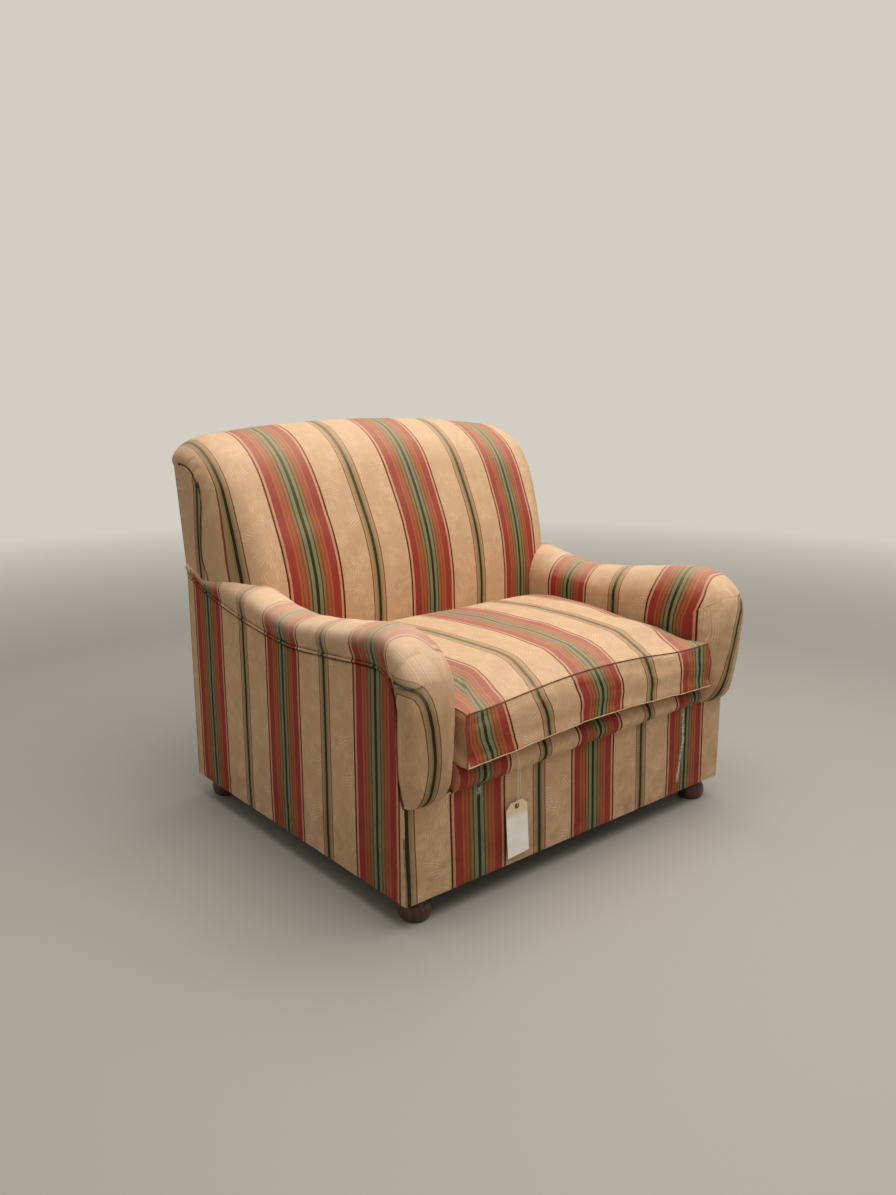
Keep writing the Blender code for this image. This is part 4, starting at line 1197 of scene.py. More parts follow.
def build_outside_arm(name, side):
    seam = seam_line(side)
    turn = int(np.argmax(fine_marks >= SEAM_TURN_MARK))
    top = even_line(seam[: turn + 1][::-1], 140)
    waist = Z_APRON + apron_rise(side * HALF_WIDTH)
    corner = [(seam[-1][0], waist), (-Y_REAR, waist), (-Y_REAR, Z_BASE)]
    front = even_line(np.vstack([seam[turn:], corner])[::-1], 90)
    rear = even_line([(Y_REAR, Z_BASE), (Y_REAR, seam[0][1])], 90)
    bottom = even_line([(-Y_REAR, Z_BASE), (Y_REAR, Z_BASE)], 140)
    flat = coons(bottom, top, front, rear)
    y, z = flat[:, :, 0], flat[:, :, 1]
    edge = np.minimum.reduce([z - Z_BASE, Y_REAR - y, y + Y_REAR])
    belly = 0.0012 * ease(0.0, 0.10, edge)
    outer = np.stack([side * (HALF_WIDTH + belly), y, z], axis=2)
    u = across_cloth(SIDE_STRIPES, -3, y)
    piece = thick_cover(f"{name}_outside_arm_cover", outer, (-side * PANEL, 0, 0), np.stack([u, z], axis=2))
    points = places(piece)
    ripples = 0.0010 * soft_noise(points * [1, 1, 0.35], 0.05, 5.0 + side)
    from_edge = np.minimum(points[:, 2] - Z_BASE, Y_REAR - points[:, 1])
    points[:, 0] += side * ripples * ease(0.0, 0.05, from_edge)
    put_places(piece, points)
    fade_and_darken(piece, darkening=0.35)
    # A dark line just under the seam: painted shadow of the roll's overhang.
    mark(piece, "soiled", [(side * HALF_WIDTH, y, z - 0.004) for y, z in seam[::8]], 0.005, 1.3)
    mark(piece, "worn", [(side * HALF_WIDTH, -HALF_DEPTH, z) for z in (Z_BASE, Z_BASE + 0.03)], 0.004, 0.8)
    return piece


for name, side in SIDES:
    piece = build_outside_arm(name, side)
    finish_cover(piece, [f"{name}_outside_arm"])

# %% [markdown]
# ## Piping
#
# A welt of the same cloth closes the seam under the roll and the seam between apron and seat. It is a thin
# tube along the seam, built as a mesh so that the stripes can run across it too.


# %% Piping along a seam
def piping(name, line, radius, across, sides=10):
    """A thin tube along a line; across gives the cloth's stripe coordinate at each point of the line."""
    line = np.asarray(line, float)
    ahead = np.gradient(line, axis=0)
    ahead /= np.linalg.norm(ahead, axis=1, keepdims=True)
    first = np.cross(ahead, [0.31, 0.27, 0.91])
    first /= np.linalg.norm(first, axis=1, keepdims=True)
    second = np.cross(ahead, first)
    turns = np.linspace(0, 2 * math.pi, sides, endpoint=False)
    rings = line[:, None] + radius * (
        np.cos(turns)[None, :, None] * first[:, None] + np.sin(turns)[None, :, None] * second[:, None]
    )
    u = np.repeat(np.asarray(across)[:, None], sides + 1, axis=1)
    v = np.repeat(np.linspace(0, 2 * math.pi * radius, sides + 1)[None], len(line), axis=0)
    return grid_cover(name, rings, np.stack([u, v], axis=2), ring=True, ends=True)


for name, side in SIDES:
    seam = even_line(seam_line(side)[fine_marks <= SEAM_TURN_MARK], 240)
    x = side * (HALF_WIDTH + 0.0010)
    line = np.column_stack([np.full(len(seam), x), seam[:, 0], seam[:, 1] - 0.0012])
    piece = piping(f"{name}_arm_piping", line, 0.0027, across_cloth(SIDE_STRIPES, -3, seam[:, 0]))
    fade_and_darken(piece)
    finish_trim(piece, cover_cloth)

# %% [markdown]
# ## Apron
#
# The band across the front of the base is one stretched cloth, rounded at its two ends. Near the right end a
# line is rubbed through to the pale threads, and there is a worn spot near the left.


# %% Front apron
WORN_LINE = (
    (0.3434, -0.4325, 0.2600),
    (0.3454, -0.4325, 0.2320),
    (0.3494, -0.4325, 0.1851),
    (0.3444, -0.4325, 0.1554),
    (0.3395, -0.4325, 0.1230),
    (0.3349, -0.4325, 0.0853),
)
WORN_SPOT = ((-0.3155, -0.4325, 0.2460), (-0.3150, -0.4325, 0.2420))
APRON_ROUND = 0.004


def build_apron():
    xs = np.linspace(-HALF_WIDTH, HALF_WIDTH, 300)
    zs = np.linspace(Z_BASE, Z_APRON, 36)
    x, z = np.meshgrid(xs, zs, indexing="ij")
    inset = np.minimum(HALF_WIDTH - np.abs(x), APRON_ROUND)
    rounding = np.sqrt(np.maximum(0, APRON_ROUND**2 - (APRON_ROUND - inset) ** 2))
    flat = np.stack([x, Y_FRONT + APRON_ROUND - rounding, z], axis=2)
    u = across_cloth(FRONT_STRIPES, -3, x + 0.006 * ease(Z_BASE, Z_APRON, z) - 0.003)
    piece = thick_cover("apron_cover", flat, (0, PANEL, 0), np.stack([u, z], axis=2))
    points = places(piece)
    waves = 0.0012 * soft_noise(points * [1, 1, 0.3], 0.06, 11.0)
    waves *= ease(0.0, 0.03, HALF_WIDTH - np.abs(points[:, 0]))
    points[:, 1] += waves
    points[:, 2] += apron_rise(points[:, 0]) * (points[:, 2] - Z_BASE) / (Z_APRON - Z_BASE)
    put_places(piece, points)
    fade_and_darken(piece, darkening=0.4)
    mark(piece, "worn", WORN_LINE, 0.0040, 1.0)
    mark(piece, "worn", WORN_SPOT, 0.0055, 1.0)
    return piece


apron = build_apron()
finish_cover(apron, ["front_apron"])

# %% [markdown]
# ## Seat platform
#
# Under the loose cushion lies a stuffed platform. Only its front roll shows, a lip that bulges over the
# front rail and is gathered into the apron's seam.

# %% Seat platform with its lip
LIP_PROFILE = (
    (0.0000, 0.0000),
    (0.0133, 0.0072),
    (0.0195, 0.0193),
    (0.0205, 0.0302),
    (0.0174, 0.0435),
    (0.0092, 0.0544),
    (-0.0062, 0.0604),
    (-0.0328, 0.0580),
    (-0.0718, 0.0467),
)
LIP_STRIPES = (-0.5000, -0.3175, -0.1480, 0.0220, 0.1900, 0.3600, 0.5300)


def build_platform():
    low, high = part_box("seat_deck")
    profile = smooth_line([(Y_FRONT - out, Z_DECK + up) for out, up in LIP_PROFILE], 6)
    middle_y, top = high.y * 0.5, profile[-1][1]
    back = [(middle_y, top), (high.y, top), (high.y, Z_DECK), (middle_y, Z_DECK)]
    outline = np.vstack([profile, back])
    xs = np.linspace(low.x, high.x, 240)
    points = np.array([[(x, y, z) for y, z in outline] for x in xs])
    along = lengths_along(np.vstack([outline, outline[:1]]))
    u = np.repeat(across_cloth(LIP_STRIPES, -3, xs)[:, None], len(outline) + 1, axis=1)
    v = np.repeat(along[None], len(xs), axis=0)
    piece = grid_cover("seat_platform", points, np.stack([u, v], axis=2), ring=True, ends=True)
    points = places(piece)
    gathered = np.where(points[:, 1] < Y_FRONT + 0.01, 1.0, 0.0)
    pleats = soft_noise(points * [1, 0.02, 0.25], 0.013, 21.0)
    near_seam = 1 - ease(0.010, 0.040, points[:, 2] - Z_DECK)
    points[:, 1] += gathered * (0.0004 + 0.0018 * near_seam) * pleats
    points[:, 2] += gathered * apron_rise(points[:, 0]) * (1 - ease(0.0, 0.05, points[:, 2] - Z_DECK))
    put_places(piece, points)
    fade_and_darken(piece, darkening=0.3)
    return piece


platform = build_platform()
finish_cover(platform, ["seat_deck"])

seam_x = np.linspace(-HALF_WIDTH, HALF_WIDTH, 240)
seam_z = Z_APRON + 0.0012 + apron_rise(seam_x)
apron_seam = np.column_stack([seam_x, np.full(240, Y_FRONT - 0.0008), seam_z])
apron_piping = piping("apron_piping", apron_seam, 0.0020, across_cloth(FRONT_STRIPES, -3, apron_seam[:, 0]))
fade_and_darken(apron_piping)
finish_trim(apron_piping, cover_cloth)

# %% [markdown]
# ## Back
#
# The back is one padded skin: up the raked inside, over the crest and round a scroll behind the top rail.
# Its wings turn round the sides and rest on the arms. Rings stand side by side across the chair, each a
# closed section. Towards the sides they draw in, and over an arm they end just above its roll.

# %% Sections of the back
BACK_FRONT = (
    (0.2406, 0.0000),
    (0.2406, 0.1200),
    (0.2350, 0.1800),
    (0.2335, 0.2400),
    (0.2300, 0.2900),
    (0.2200, 0.3460),
    (0.2030, 0.4110),
    (0.1810, 0.4710),
    (0.1560, 0.5310),
    (0.1280, 0.5840),
    (0.0900, 0.6270),
    (0.0410, 0.6590),
    (-0.0041, 0.6740),
)
CREST = (0.0341, 0.6769)
SCROLL = ((0.068, 0.006), (0.095, 0.024), (0.111, 0.048), (0.1163, 0.070), (0.1130, 0.084), (0.1030, 0.0936))
UNDERSIDE = ((0.0316, 0.1030), (0.0, 0.1360))
DROP_START = 0.346
CREST_ARCH = 0.146
EDGE_ROUND = 0.080
EDGE_KEEP = 0.30
FLARE = 0.04
FLARE_START = 0.32
FLARE_LENGTH = 0.28
STANDS_BETWEEN_ARMS = 60
STANDS_OVER_ARM = 8


# %% [markdown]
# The inside face, the crest and the scroll make one outline, which each section closes at the rear. Near
# the side a section keeps less of its depth. Over an arm its lower part is pushed up onto the roll.


# %% Outline and one section of the back
def back_outline():
    """Outside of the section in depth and height over the deck, from the seat over the crest to the rear."""
    front = [(-depth, height) for depth, height in BACK_FRONT]
    scroll = [(depth, CREST[1] - below) for depth, below in SCROLL]
    return smooth_line([*front, CREST, *scroll], 5)


BACK_OUTLINE = back_outline()
BACK_PEAK = int(np.argmax(BACK_OUTLINE[:, 1]))
ARM_BLEND = 0.47


def back_section(x, keep, over_arm):
    """A closed ring at x: outside, underside of the scroll, rear and bottom edge."""
    depth, height = BACK_OUTLINE.T.copy()
    bottom = Y_BACK_PAD + depth[0] * keep
    if over_arm:
        start = float(roll_height(x, bottom)) + 0.0008 - Z_DECK
        front = slice(0, BACK_PEAK + 1)
        low = height[front]
        raised = np.where(low < ARM_BLEND, start + low * (ARM_BLEND - start) / ARM_BLEND, low)
        depth[front] = np.interp(raised, low, depth[front])
        height[front] = raised
    share = np.clip((height - DROP_START) / (CREST[1] - DROP_START), 0, 1)
    below = (CREST[1] - height) / SCROLL[4][1]
    share[BACK_PEAK:] = np.clip(1 - below[BACK_PEAK:], 0, 1)
    y = Y_BACK_PAD + depth
    z = Z_DECK + height - CREST_ARCH * x * x * share
    middle = (Y_BACK_PAD + UNDERSIDE[0][0], Z_DECK + CREST[1] - UNDERSIDE[0][1])
    under = (Y_BACK_PAD, Z_DECK + CREST[1] - UNDERSIDE[1][1])
    toward_y = Y_BACK_PAD + CREST[0] * np.clip((z - under[1]) / (middle[1] - under[1]), 0, 1)
    toward_z = np.minimum(z, middle[1])
    y = toward_y + (y - toward_y) * keep
    z = toward_z + (z - toward_z) * keep
    bottom_y = np.linspace(Y_BACK_PAD, y[0], 14)[:-1]
    bottom_z = roll_height(x, bottom_y) + 0.0008 if over_arm else np.full(13, Z_DECK)
    ring = np.array([*zip(y, z), middle, under, *zip(bottom_y, bottom_z)])
    rise = np.clip((ring[:, 1] - Z_DECK - FLARE_START) / FLARE_LENGTH, 0, 1)
    return np.column_stack([x * (1 + FLARE * rise), ring])


def back_places():
    """Where the sections stand: x, how much of the depth they keep, and whether they end over an arm."""
    straight = HALF_WIDTH - EDGE_ROUND
    inner = np.linspace(0, X_ARM_INSIDE - 0.0006, STANDS_BETWEEN_ARMS)
    stands = [(x, 1.0, False) for x in inner]
    for x in np.linspace(X_ARM_INSIDE - 0.0002, straight, STANDS_OVER_ARM):
        stands.append((x, 1.0, True))
    for turn in np.linspace(0, math.pi / 2, 24)[1:]:
        x = straight + EDGE_ROUND * math.sin(turn)
        stands.append((x, EDGE_KEEP + (1 - EDGE_KEEP) * math.cos(turn), True))
    for share in np.linspace(0, 1, 12)[1:]:
        stands.append((HALF_WIDTH, EDGE_KEEP * (1 - share) + 0.012 * share, True))
    return stands


# %% [markdown]
# A point's place along the cloth is its distance round the section from the crest. Its place across is
# the distance sideways from the middle, measured over the surface, so the stripes go over the crest and
# round the wings without a seam.


# %% Back cover
BACK_TOP_STRIPES = (-0.4835, -0.3180, -0.1500, 0.0260, 0.1860, 0.3420, 0.4950)
BORDER_PULL = 0.45
BORDER_EDGE = 0.505
GATHERS = (
    ((0.5180, 0.3624, 0.8460), (0.5137, 0.3544, 0.8567), (0.5093, 0.3427, 0.8583)),
    ((0.5174, 0.3404, 0.8267), (0.5142, 0.3304, 0.8364), (0.5096, 0.3191, 0.8392)),
    ((0.5165, 0.3248, 0.8025), (0.5144, 0.3130, 0.8091), (0.5074, 0.2921, 0.8102)),
)


def build_back():
    half = back_places()
    stands = [(-x, keep, over) for x, keep, over in reversed(half[1:])] + half
    rings = np.array([back_section(*stand) for stand in stands])
    x = np.array([stand[0] for stand in stands])
    travelled = lengths_along(rings[:, BACK_PEAK // 2, :2])
    travelled -= travelled[len(travelled) // 2]
    turned = HALF_WIDTH - EDGE_ROUND
    unturned = slice(len(x) // 2, len(x) // 2 + STANDS_BETWEEN_ARMS + STANDS_OVER_ARM)
    at_turn = np.interp(turned, x[unturned], travelled[unturned])
    spread = np.where(np.abs(x) <= turned, x, np.sign(travelled) * (turned + np.abs(travelled) - at_turn))
    past = np.maximum(0, np.abs(spread) - BORDER_EDGE)
    spread = spread - np.sign(spread) * past * (1 - BORDER_PULL)
    low = across_cloth(BACK_STRIPES, -3, spread)[:, None]
    high = across_cloth(BACK_TOP_STRIPES, -3, spread)[:, None]
    u = low + (high - low) * ease(0.60, 0.90, rings[:, :, 2])
    around = np.array([lengths_along(ring) for ring in rings])
    around -= around[:, BACK_PEAK][:, None]
    cloth = np.stack([u, around], axis=2)
    cloth = np.concatenate([cloth, cloth[:, :1]], axis=1)
    return grid_cover("back_cover", rings, cloth, ring=True, ends=True)


back = build_back()
points = places(back)
lumps = 0.0016 * soft_noise(points, 0.07, 2.0)
put_places(back, points + outward(back) * lumps[:, None])
fade_and_darken(back, fade=0.30)
finish_cover(back, ["back_pad"])

# %% [markdown]
# ## Sides and rear of the back
#
# Behind the wings the back is closed by a flat cloth on each side and one down the rear. They follow the
# raked posts. A side cover reaches forward to the seam behind its wing, so its front edge is a short table of
# its own. The wing is gathered into the top of that seam, which leaves three small pleats.

# %% Side covers of the back
RAKE_START = Z_DECK + 0.311
RAKE_DEPTH = 0.041
SIDE_FOOT_X = 0.4965
SIDE_FOOT_Y = 0.33
SIDE_FOOT_DEPTH = 0.10
SIDE_FOOT_GAP = 0.0025
SIDE_PANEL_FRONT = (
    (0.560, 0.3250),
    (0.587, 0.3300),
    (0.599, 0.3380),
    (0.626, 0.3450),
    (0.664, 0.3420),
    (0.713, 0.3285),
    (0.761, 0.3150),
    (0.799, 0.3185),
    (0.807, 0.3300),
    (0.823, 0.3451),
    (0.8335, 0.3581),
    (0.8392, 0.3780),
    (0.8431, 0.4075),
)
SIDE_THIN_LINE = (
    (0.586, 0.3543),
    (0.633, 0.3517),
    (0.668, 0.3474),
    (0.727, 0.3364),
    (0.790, 0.3220),
)


def flare_at(z):
    return HALF_WIDTH * (1 + FLARE * np.clip((z - Z_DECK - FLARE_START) / FLARE_LENGTH, 0, 1))


def build_back_side(name, side):
    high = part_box(f"{name}_back_side")[1]
    rows = []
    for share in np.linspace(0, 1, 110) ** 0.8:
        row = []
        for t in np.linspace(0, 1, 24):
            foot = float(roll_height(side * SIDE_FOOT_X, SIDE_FOOT_Y + SIDE_FOOT_DEPTH * t)) + SIDE_FOOT_GAP
            z = foot + (SIDE_PANEL_FRONT[-1][0] - foot) * share
            rear_y = Y_REAR + RAKE_DEPTH * max(0.0, z - RAKE_START) / (high.z - RAKE_START)
            front_y = float(line_at(SIDE_PANEL_FRONT, z))
            y = front_y + (rear_y - front_y) * t
            settled = float(ease(Y_BACK_PAD + 0.012, rear_y, y))
            x = flare_at(z) + 0.0016 + (HALF_WIDTH + 0.0002 - flare_at(z) - 0.0016) * settled
            row.append((side * x, y, z))
        rows.append(row)
    outer = np.array(rows)
    beside = outer[:, :, 1] - line_at(SIDE_THIN_LINE, outer[:, :, 2])
    u = HALF_REPEAT + np.clip(beside, -GROUND_REACH, GROUND_REACH)
    cloth = np.stack([u, outer[:, :, 2]], axis=2)
    piece = thick_cover(f"{name}_back_side_cover", outer, (-side * PANEL, 0, 0), cloth)
    fade_and_darken(piece)
    return piece


for name, side in SIDES:
    piece = build_back_side(name, side)
    finish_cover(piece, [f"{name}_back_side"])
    edge = [(side * (flare_at(z) + 0.001), y, z) for z, y in SIDE_PANEL_FRONT]
    # A dark line along the seam in front of the side cover is painted shadow of its folded edge; the pleats
    # are darkened with painted shade.
    mark(back, "soiled", [(x, y - 0.002, z) for x, y, z in edge], 0.0050, 1.5)
    for pleat in GATHERS:
        crease(back, [(side * x, y, z) for x, y, z in pleat], 0.0030, 0.0034, 0.9)


# %% Rear cover
def build_rear():
    low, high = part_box("outside_back")
    xs = np.linspace(low.x, high.x, 120)
    levels = np.concatenate([np.linspace(low.z, RAKE_START, 30), np.linspace(RAKE_START, high.z, 24)[1:]])
    rear = np.interp(levels, [RAKE_START, high.z], [HALF_DEPTH, high.y])
    points = np.array([[(x, y, z) for y, z in zip(rear, levels)] for x in xs])
    u = np.repeat(across_cloth(FRONT_STRIPES, -3, xs)[:, None], len(levels), axis=1)
    v = np.repeat(levels[None], len(xs), axis=0)
    piece = thick_cover("rear_cover", points, (0, -PANEL, 0), np.stack([u, v], axis=2))
    fade_and_darken(piece, darkening=0.3)
    return piece


rear = build_rear()
finish_cover(rear, ["outside_back"])

# %% [markdown]
# ## Seat cushion
#
# The loose cushion is a box cushion: a top panel, a border and a bottom panel, sewn along their edges. It
# has slumped over the lip, so its front border leans and bulges, and its right front corner has spread over
# the arm's inner edge. It starts as a box of quads whose edge loops lie on the seams, shaped to the slumped
# form. It stands higher than its solid, because the crown follows the photograph. Blender's cloth then
# inflates it with its bottom and rear held, and a cap keeps any point from moving too far.

# %% Cushion shape
cushion_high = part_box("seat_cushion")[1]
CUSHION_HALF = cushion_high.x
CUSHION_BACK = cushion_high.y
SEAM_FRONT = -0.465
HEM_FRONT = -0.474
FRONT_BULGE = 0.012
SIDE_SEAM = (
    (-0.465, 0.4225),
    (-0.333, 0.4455),
    (-0.180, 0.4550),
    (-0.067, 0.4560),
    (0.047, 0.4540),
    (0.145, 0.4400),
)
CROWN_LINE = (
    (-0.465, 0.4425),
    (-0.440, 0.4535),
    (-0.380, 0.4655),
    (-0.250, 0.4735),
    (-0.100, 0.4735),
    (0.050, 0.4620),
    (0.145, 0.4380),
)
CORNER_BULGE = 0.009
RIGHT_CORNER = (0.012, 0.022)
RIGHT_CORNER_LIFT = 0.006
HEM = (0.3143, 0.3225)
HEM_ARCH = 0.0165
CUSHION_CELLS = (64, 52, 10)
TOP_ROWS_Y = (-0.465, -0.440, -0.400, -0.300, -0.150)
TOP_ROWS_X = (
    (-0.3285, -0.1810, -0.0070, 0.1630, 0.3640),
    (-0.3245, -0.1760, -0.0070, 0.1670, 0.3700),
    (-0.3240, -0.1730, -0.0050, 0.1660, 0.3700),
    (-0.3400, -0.1715, -0.0080, 0.1680, 0.3690),
    (-0.3560, -0.1830, -0.0070, 0.1720, 0.3760),
)
BORDER_ROWS_Z = (0.335, 0.365, 0.397, 0.412, 0.435)
BORDER_ROWS_X = (
    (-0.3150, -0.1575, -0.0035, 0.1660, 0.3470),
    (-0.3280, -0.1595, 0.0055, 0.1710, 0.3530),
    (-0.3320, -0.1700, 0.0060, 0.1680, 0.3560),
    (-0.3310, -0.1790, 0.0005, 0.1655, 0.3610),
    (-0.3280, -0.1820, -0.0065, 0.1610, 0.3650),
)
SIDE_BORDER_U = 0.190


def cushion_point(a, b, c):
    """A point of the slumped box; a, b and c run from -1 to 1, to the right, to the rear and up."""
    up = (c + 1) / 2
    front = HEM_FRONT + (SEAM_FRONT - HEM_FRONT) * up
    y = front + (CUSHION_BACK - front) * (b + 1) / 2
    near_front = max(0.0, -b) ** 3
    arch = (1 - a * a) ** 2
    bottom = HEM[0] + (HEM[1] - HEM[0]) * (a + 1) / 2 + HEM_ARCH * arch * near_front
    side = float(line_at(SIDE_SEAM, y))
    behind = float(ease(SEAM_FRONT, SEAM_FRONT + 0.10, y))
    crowned = behind * (1 - a**4) + (1 - behind) * arch
    seam = side + (float(line_at(CROWN_LINE, y)) - side) * crowned
    if c < 0.999:
        near_seam = side + (float(line_at(CROWN_LINE, SEAM_FRONT)) - side) * arch * near_front
        seam = near_seam if b < 0.999 else seam
    height = bottom + (seam - bottom) * up
    if b < -0.999:
        y -= FRONT_BULGE * (1 - c * c) * (1 - a**6)
        y -= 0.004 * (1 - c * c) * a**6
    corner = CORNER_BULGE * (1 - c * c) * abs(a) ** 10 if b < -0.999 else 0.0
    slumped = max(0.0, a) ** 6 * float(ease(0.78, 1.0, -b))
    outward = slumped * (RIGHT_CORNER[0] + (RIGHT_CORNER[1] - RIGHT_CORNER[0]) * up)
    return (a * (CUSHION_HALF + corner) + outward, y, height + slumped * RIGHT_CORNER_LIFT * up)


def cushion_across(x, y, z, panel):
    """Place across the cloth on the top panel, the front border or the side borders."""
    if panel == "side":
        return SIDE_BORDER_U + (y - HEM_FRONT)
    keys, rows, at = (BORDER_ROWS_Z, BORDER_ROWS_X, z) if panel == "front" else (TOP_ROWS_Y, TOP_ROWS_X, y)
    row = [np.interp(at, keys, [line[k] for line in rows]) for k in range(5)]
    return float(across_cloth(row, -2, x))


# %% Cushion mesh with edge loops on its seams
def build_cushion():
    cells = CUSHION_CELLS
    index = {}
    points = []
    spots = []

    def vertex(i, j, k):
        if (i, j, k) not in index:
            a, b, c = (2 * step / count - 1 for step, count in zip((i, j, k), cells))
            a, b = math.sin(a * math.pi / 2) * 0.3 + a * 0.7, math.sin(b * math.pi / 2) * 0.3 + b * 0.7
            index[i, j, k] = len(points)
            points.append(cushion_point(a, b, c))
            spots.append((a, b, c))
        return index[i, j, k]

    faces = []
    panels = []
    nx, ny, nz = cells
    for k, panel in ((0, "bottom"), (nz, "top")):
        for i in range(nx):
            for j in range(ny):
                faces.append([vertex(*p, k) for p in ((i, j), (i + 1, j), (i + 1, j + 1), (i, j + 1))])
                panels.append(panel)
    for j, panel in ((0, "front"), (ny, "rear")):
        for i in range(nx):
            for k in range(nz):
                faces.append([vertex(p, j, q) for p, q in ((i, k), (i + 1, k), (i + 1, k + 1), (i, k + 1))])
                panels.append(panel)
    for i in (0, nx):
        for j in range(ny):
            for k in range(nz):
                faces.append([vertex(i, p, q) for p, q in ((j, k), (j + 1, k), (j + 1, k + 1), (j, k + 1))])
                panels.append("side")
    mesh = bpy.data.meshes.new("cushion_cover")
    mesh.from_pydata(points, [], faces)
    layer = mesh.uv_layers.new(name="cloth")
    corner = 0
    for face, panel in zip(faces, panels):
        for v in face:
            x, y, z = points[v]
            along = z if panel in ("front", "rear", "side") else y
            kind = "front" if panel in ("front", "rear") else "side" if panel == "side" else "top"
            layer.data[corner].uv = (cushion_across(x, y, z, kind), along)
            corner += 1
    piece = in_scene("cushion_cover", mesh)
    tidy_normals(mesh)
    edges = {
        "top": [index[i, 0, nz] for i in range(nx + 1)],
        "hem": [index[i, 0, 0] for i in range(nx + 1)],
        "left": [index[0, 0, k] for k in range(nz + 1)],
        "right": [index[nx, 0, k] for k in range(nz + 1)],
        "left_side": [index[0, j, nz] for j in range(ny + 1)],
        "right_side": [index[nx, j, nz] for j in range(ny + 1)],
    }
    return piece, np.array(spots), edges


cushion, cushion_spots, cushion_edges = build_cushion()
print("cushion vertices:", len(cushion.data.vertices))


# %% Inflating it with Blender's cloth
def inflate(piece, pinned, pressure, cap, frames=20):
    """Runs the cloth simulation on a piece, limits how far each point moved and keeps the result."""
    start = places(piece)
    group = piece.vertex_groups.new(name="held")
    group.add([int(i) for i in np.flatnonzero(pinned)], 1.0, "REPLACE")
    cloth = piece.modifiers.new("inflated", "CLOTH")
    settings = cloth.settings
    settings.quality = 6
    settings.mass = 0.3
    settings.tension_stiffness = 18
    settings.compression_stiffness = 18
    settings.shear_stiffness = 6
    settings.bending_stiffness = 0.6
    settings.use_pressure = True
    settings.uniform_pressure_force = pressure
    settings.vertex_group_mass = "held"
    settings.effector_weights.gravity = 0
    cloth.point_cache.frame_end = frames
    scene = bpy.context.scene
    for number in range(1, frames + 1):
        scene.frame_set(number)
    shape = piece.evaluated_get(bpy.context.evaluated_depsgraph_get())
    after = np.empty(len(shape.data.vertices) * 3)
    shape.data.vertices.foreach_get("co", after)
    moved = after.reshape(-1, 3) - start
    length = np.linalg.norm(moved, axis=1, keepdims=True)
    moved *= np.minimum(1.0, cap / np.maximum(length, 1e-9))
    piece.modifiers.remove(cloth)
    piece.vertex_groups.remove(group)
    scene.frame_set(1)
    put_places(piece, start + moved)
    print(piece.name, "moved at most", round(float(np.abs(moved).max()) * 1000, 1), "mm")


held = cushion_spots[:, 2] < -0.9
held |= cushion_spots[:, 1] > 0.9
inflate(cushion, held, pressure=2.0, cap=0.012)

# %% [markdown]
# ## The cushion's surface
#
# One level of subdivision rounds the inflated mesh. Noise along the outward direction gives it the small
# ripples that old filling leaves, strongest on the front border and fading out at the sewn edges. The seams
# are thin tubes along the edge loops: dark cords of painted seam shadow at the top and corners, and a pale
# worn one at the hem.

# %% Smoothing, ripples and sewn edges
smoothing = cushion.modifiers.new("rounded", "SUBSURF")
smoothing.levels = 1
smoothing.render_levels = 1
rounded = bpy.data.meshes.new_from_object(cushion.evaluated_get(bpy.context.evaluated_depsgraph_get()))
cushion.modifiers.clear()
cushion.data = rounded
points = places(cushion)
facing_front = ease(-0.30, -0.44, points[:, 1])
along_front = points * [0.45, 1.0, 1.0]
ripples = 0.0022 * soft_noise(along_front, 0.030, 31.0) + 0.0012 * soft_noise(along_front, 0.013, 37.0)
broad = 0.0030 * soft_noise(points, 0.11, 33.0)
edge_line = points[cushion_edges["top"]]
from_edge = np.abs(points[:, 2] - np.interp(points[:, 0], edge_line[:, 0], edge_line[:, 2]))
loose = ease(0.0, 0.008, from_edge)
top_loose = ease(0.30, 0.95, outward(cushion)[:, 2])
moved = (ripples * facing_front * (0.25 + 0.75 * loose) + broad * top_loose)[:, None] * outward(cushion)
put_places(cushion, points + moved)
finish_cover(cushion, ["seat_cushion"])
fade_and_darken(cushion, fade=0.26)

WORN_CORNERS = ((-0.1894, -0.4548, 0.4367), (0.3850, -0.4650, 0.4232), (-0.3840, -0.4630, 0.4215))
for x, y, z in WORN_CORNERS:
    mark(cushion, "worn", [(x, y, z), (x + 0.002, y, z - 0.004)], 0.0055, 1.0)
PUCKER = ((0.027, -0.473, 0.423), (0.040, -0.480, 0.402), (0.060, -0.481, 0.380), (0.054, -0.481, 0.363))
SMALL_PUCKER = ((0.128, -0.466, 0.436), (0.155, -0.475, 0.412), (0.162, -0.480, 0.385))
# The puckers are darkened with painted shade.
crease(cushion, PUCKER, 0.0025, 0.006, 0.5)
crease(cushion, SMALL_PUCKER, 0.0020, 0.006, 0.4)
points = places(cushion)
# The dark cord stands for the shadow in a pinched seam: painted shadow.
seam_shade_cord = mottled("painted_seam_shade", srgb(150, 96, 66), srgb(82, 46, 34), 0.02, 0.9)
light_thread = mottled("worn_seam", srgb(226, 196, 160), srgb(176, 140, 106), 0.02, 0.9)
THREAD_LIFT = 0.0006


def sewn_edge(name, vertices, radius, material):
    """A cord along an edge loop of the cushion, a little in front of the cloth and above it; a dark one is
    painted seam shadow.
    """
    line = points[vertices] + [0, -THREAD_LIFT, THREAD_LIFT]
    piece = piping(name, smooth_line(line, 3), radius, np.zeros(3 * (len(vertices) - 1) + 1), 6)
    finish_trim(piece, material)


sewn_edge("cushion_top_seam", cushion_edges["top"], 0.0013, seam_shade_cord)
sewn_edge("cushion_hem_seam", cushion_edges["hem"], 0.0012, light_thread)
for name, _ in SIDES:
    sewn_edge(f"cushion_{name}_corner_seam", cushion_edges[name], 0.0012, seam_shade_cord)
    sewn_edge(f"cushion_{name}_side_seam", cushion_edges[f"{name}_side"], 0.0012, seam_shade_cord)

# %% [markdown]
# ## Feet
#
# Small bun feet, turned in one piece and stained dark. A profile is turned round an axis as a lathe does, one
# ring for each of its points. The frame inside is plain beech with the same grain in its own colours.


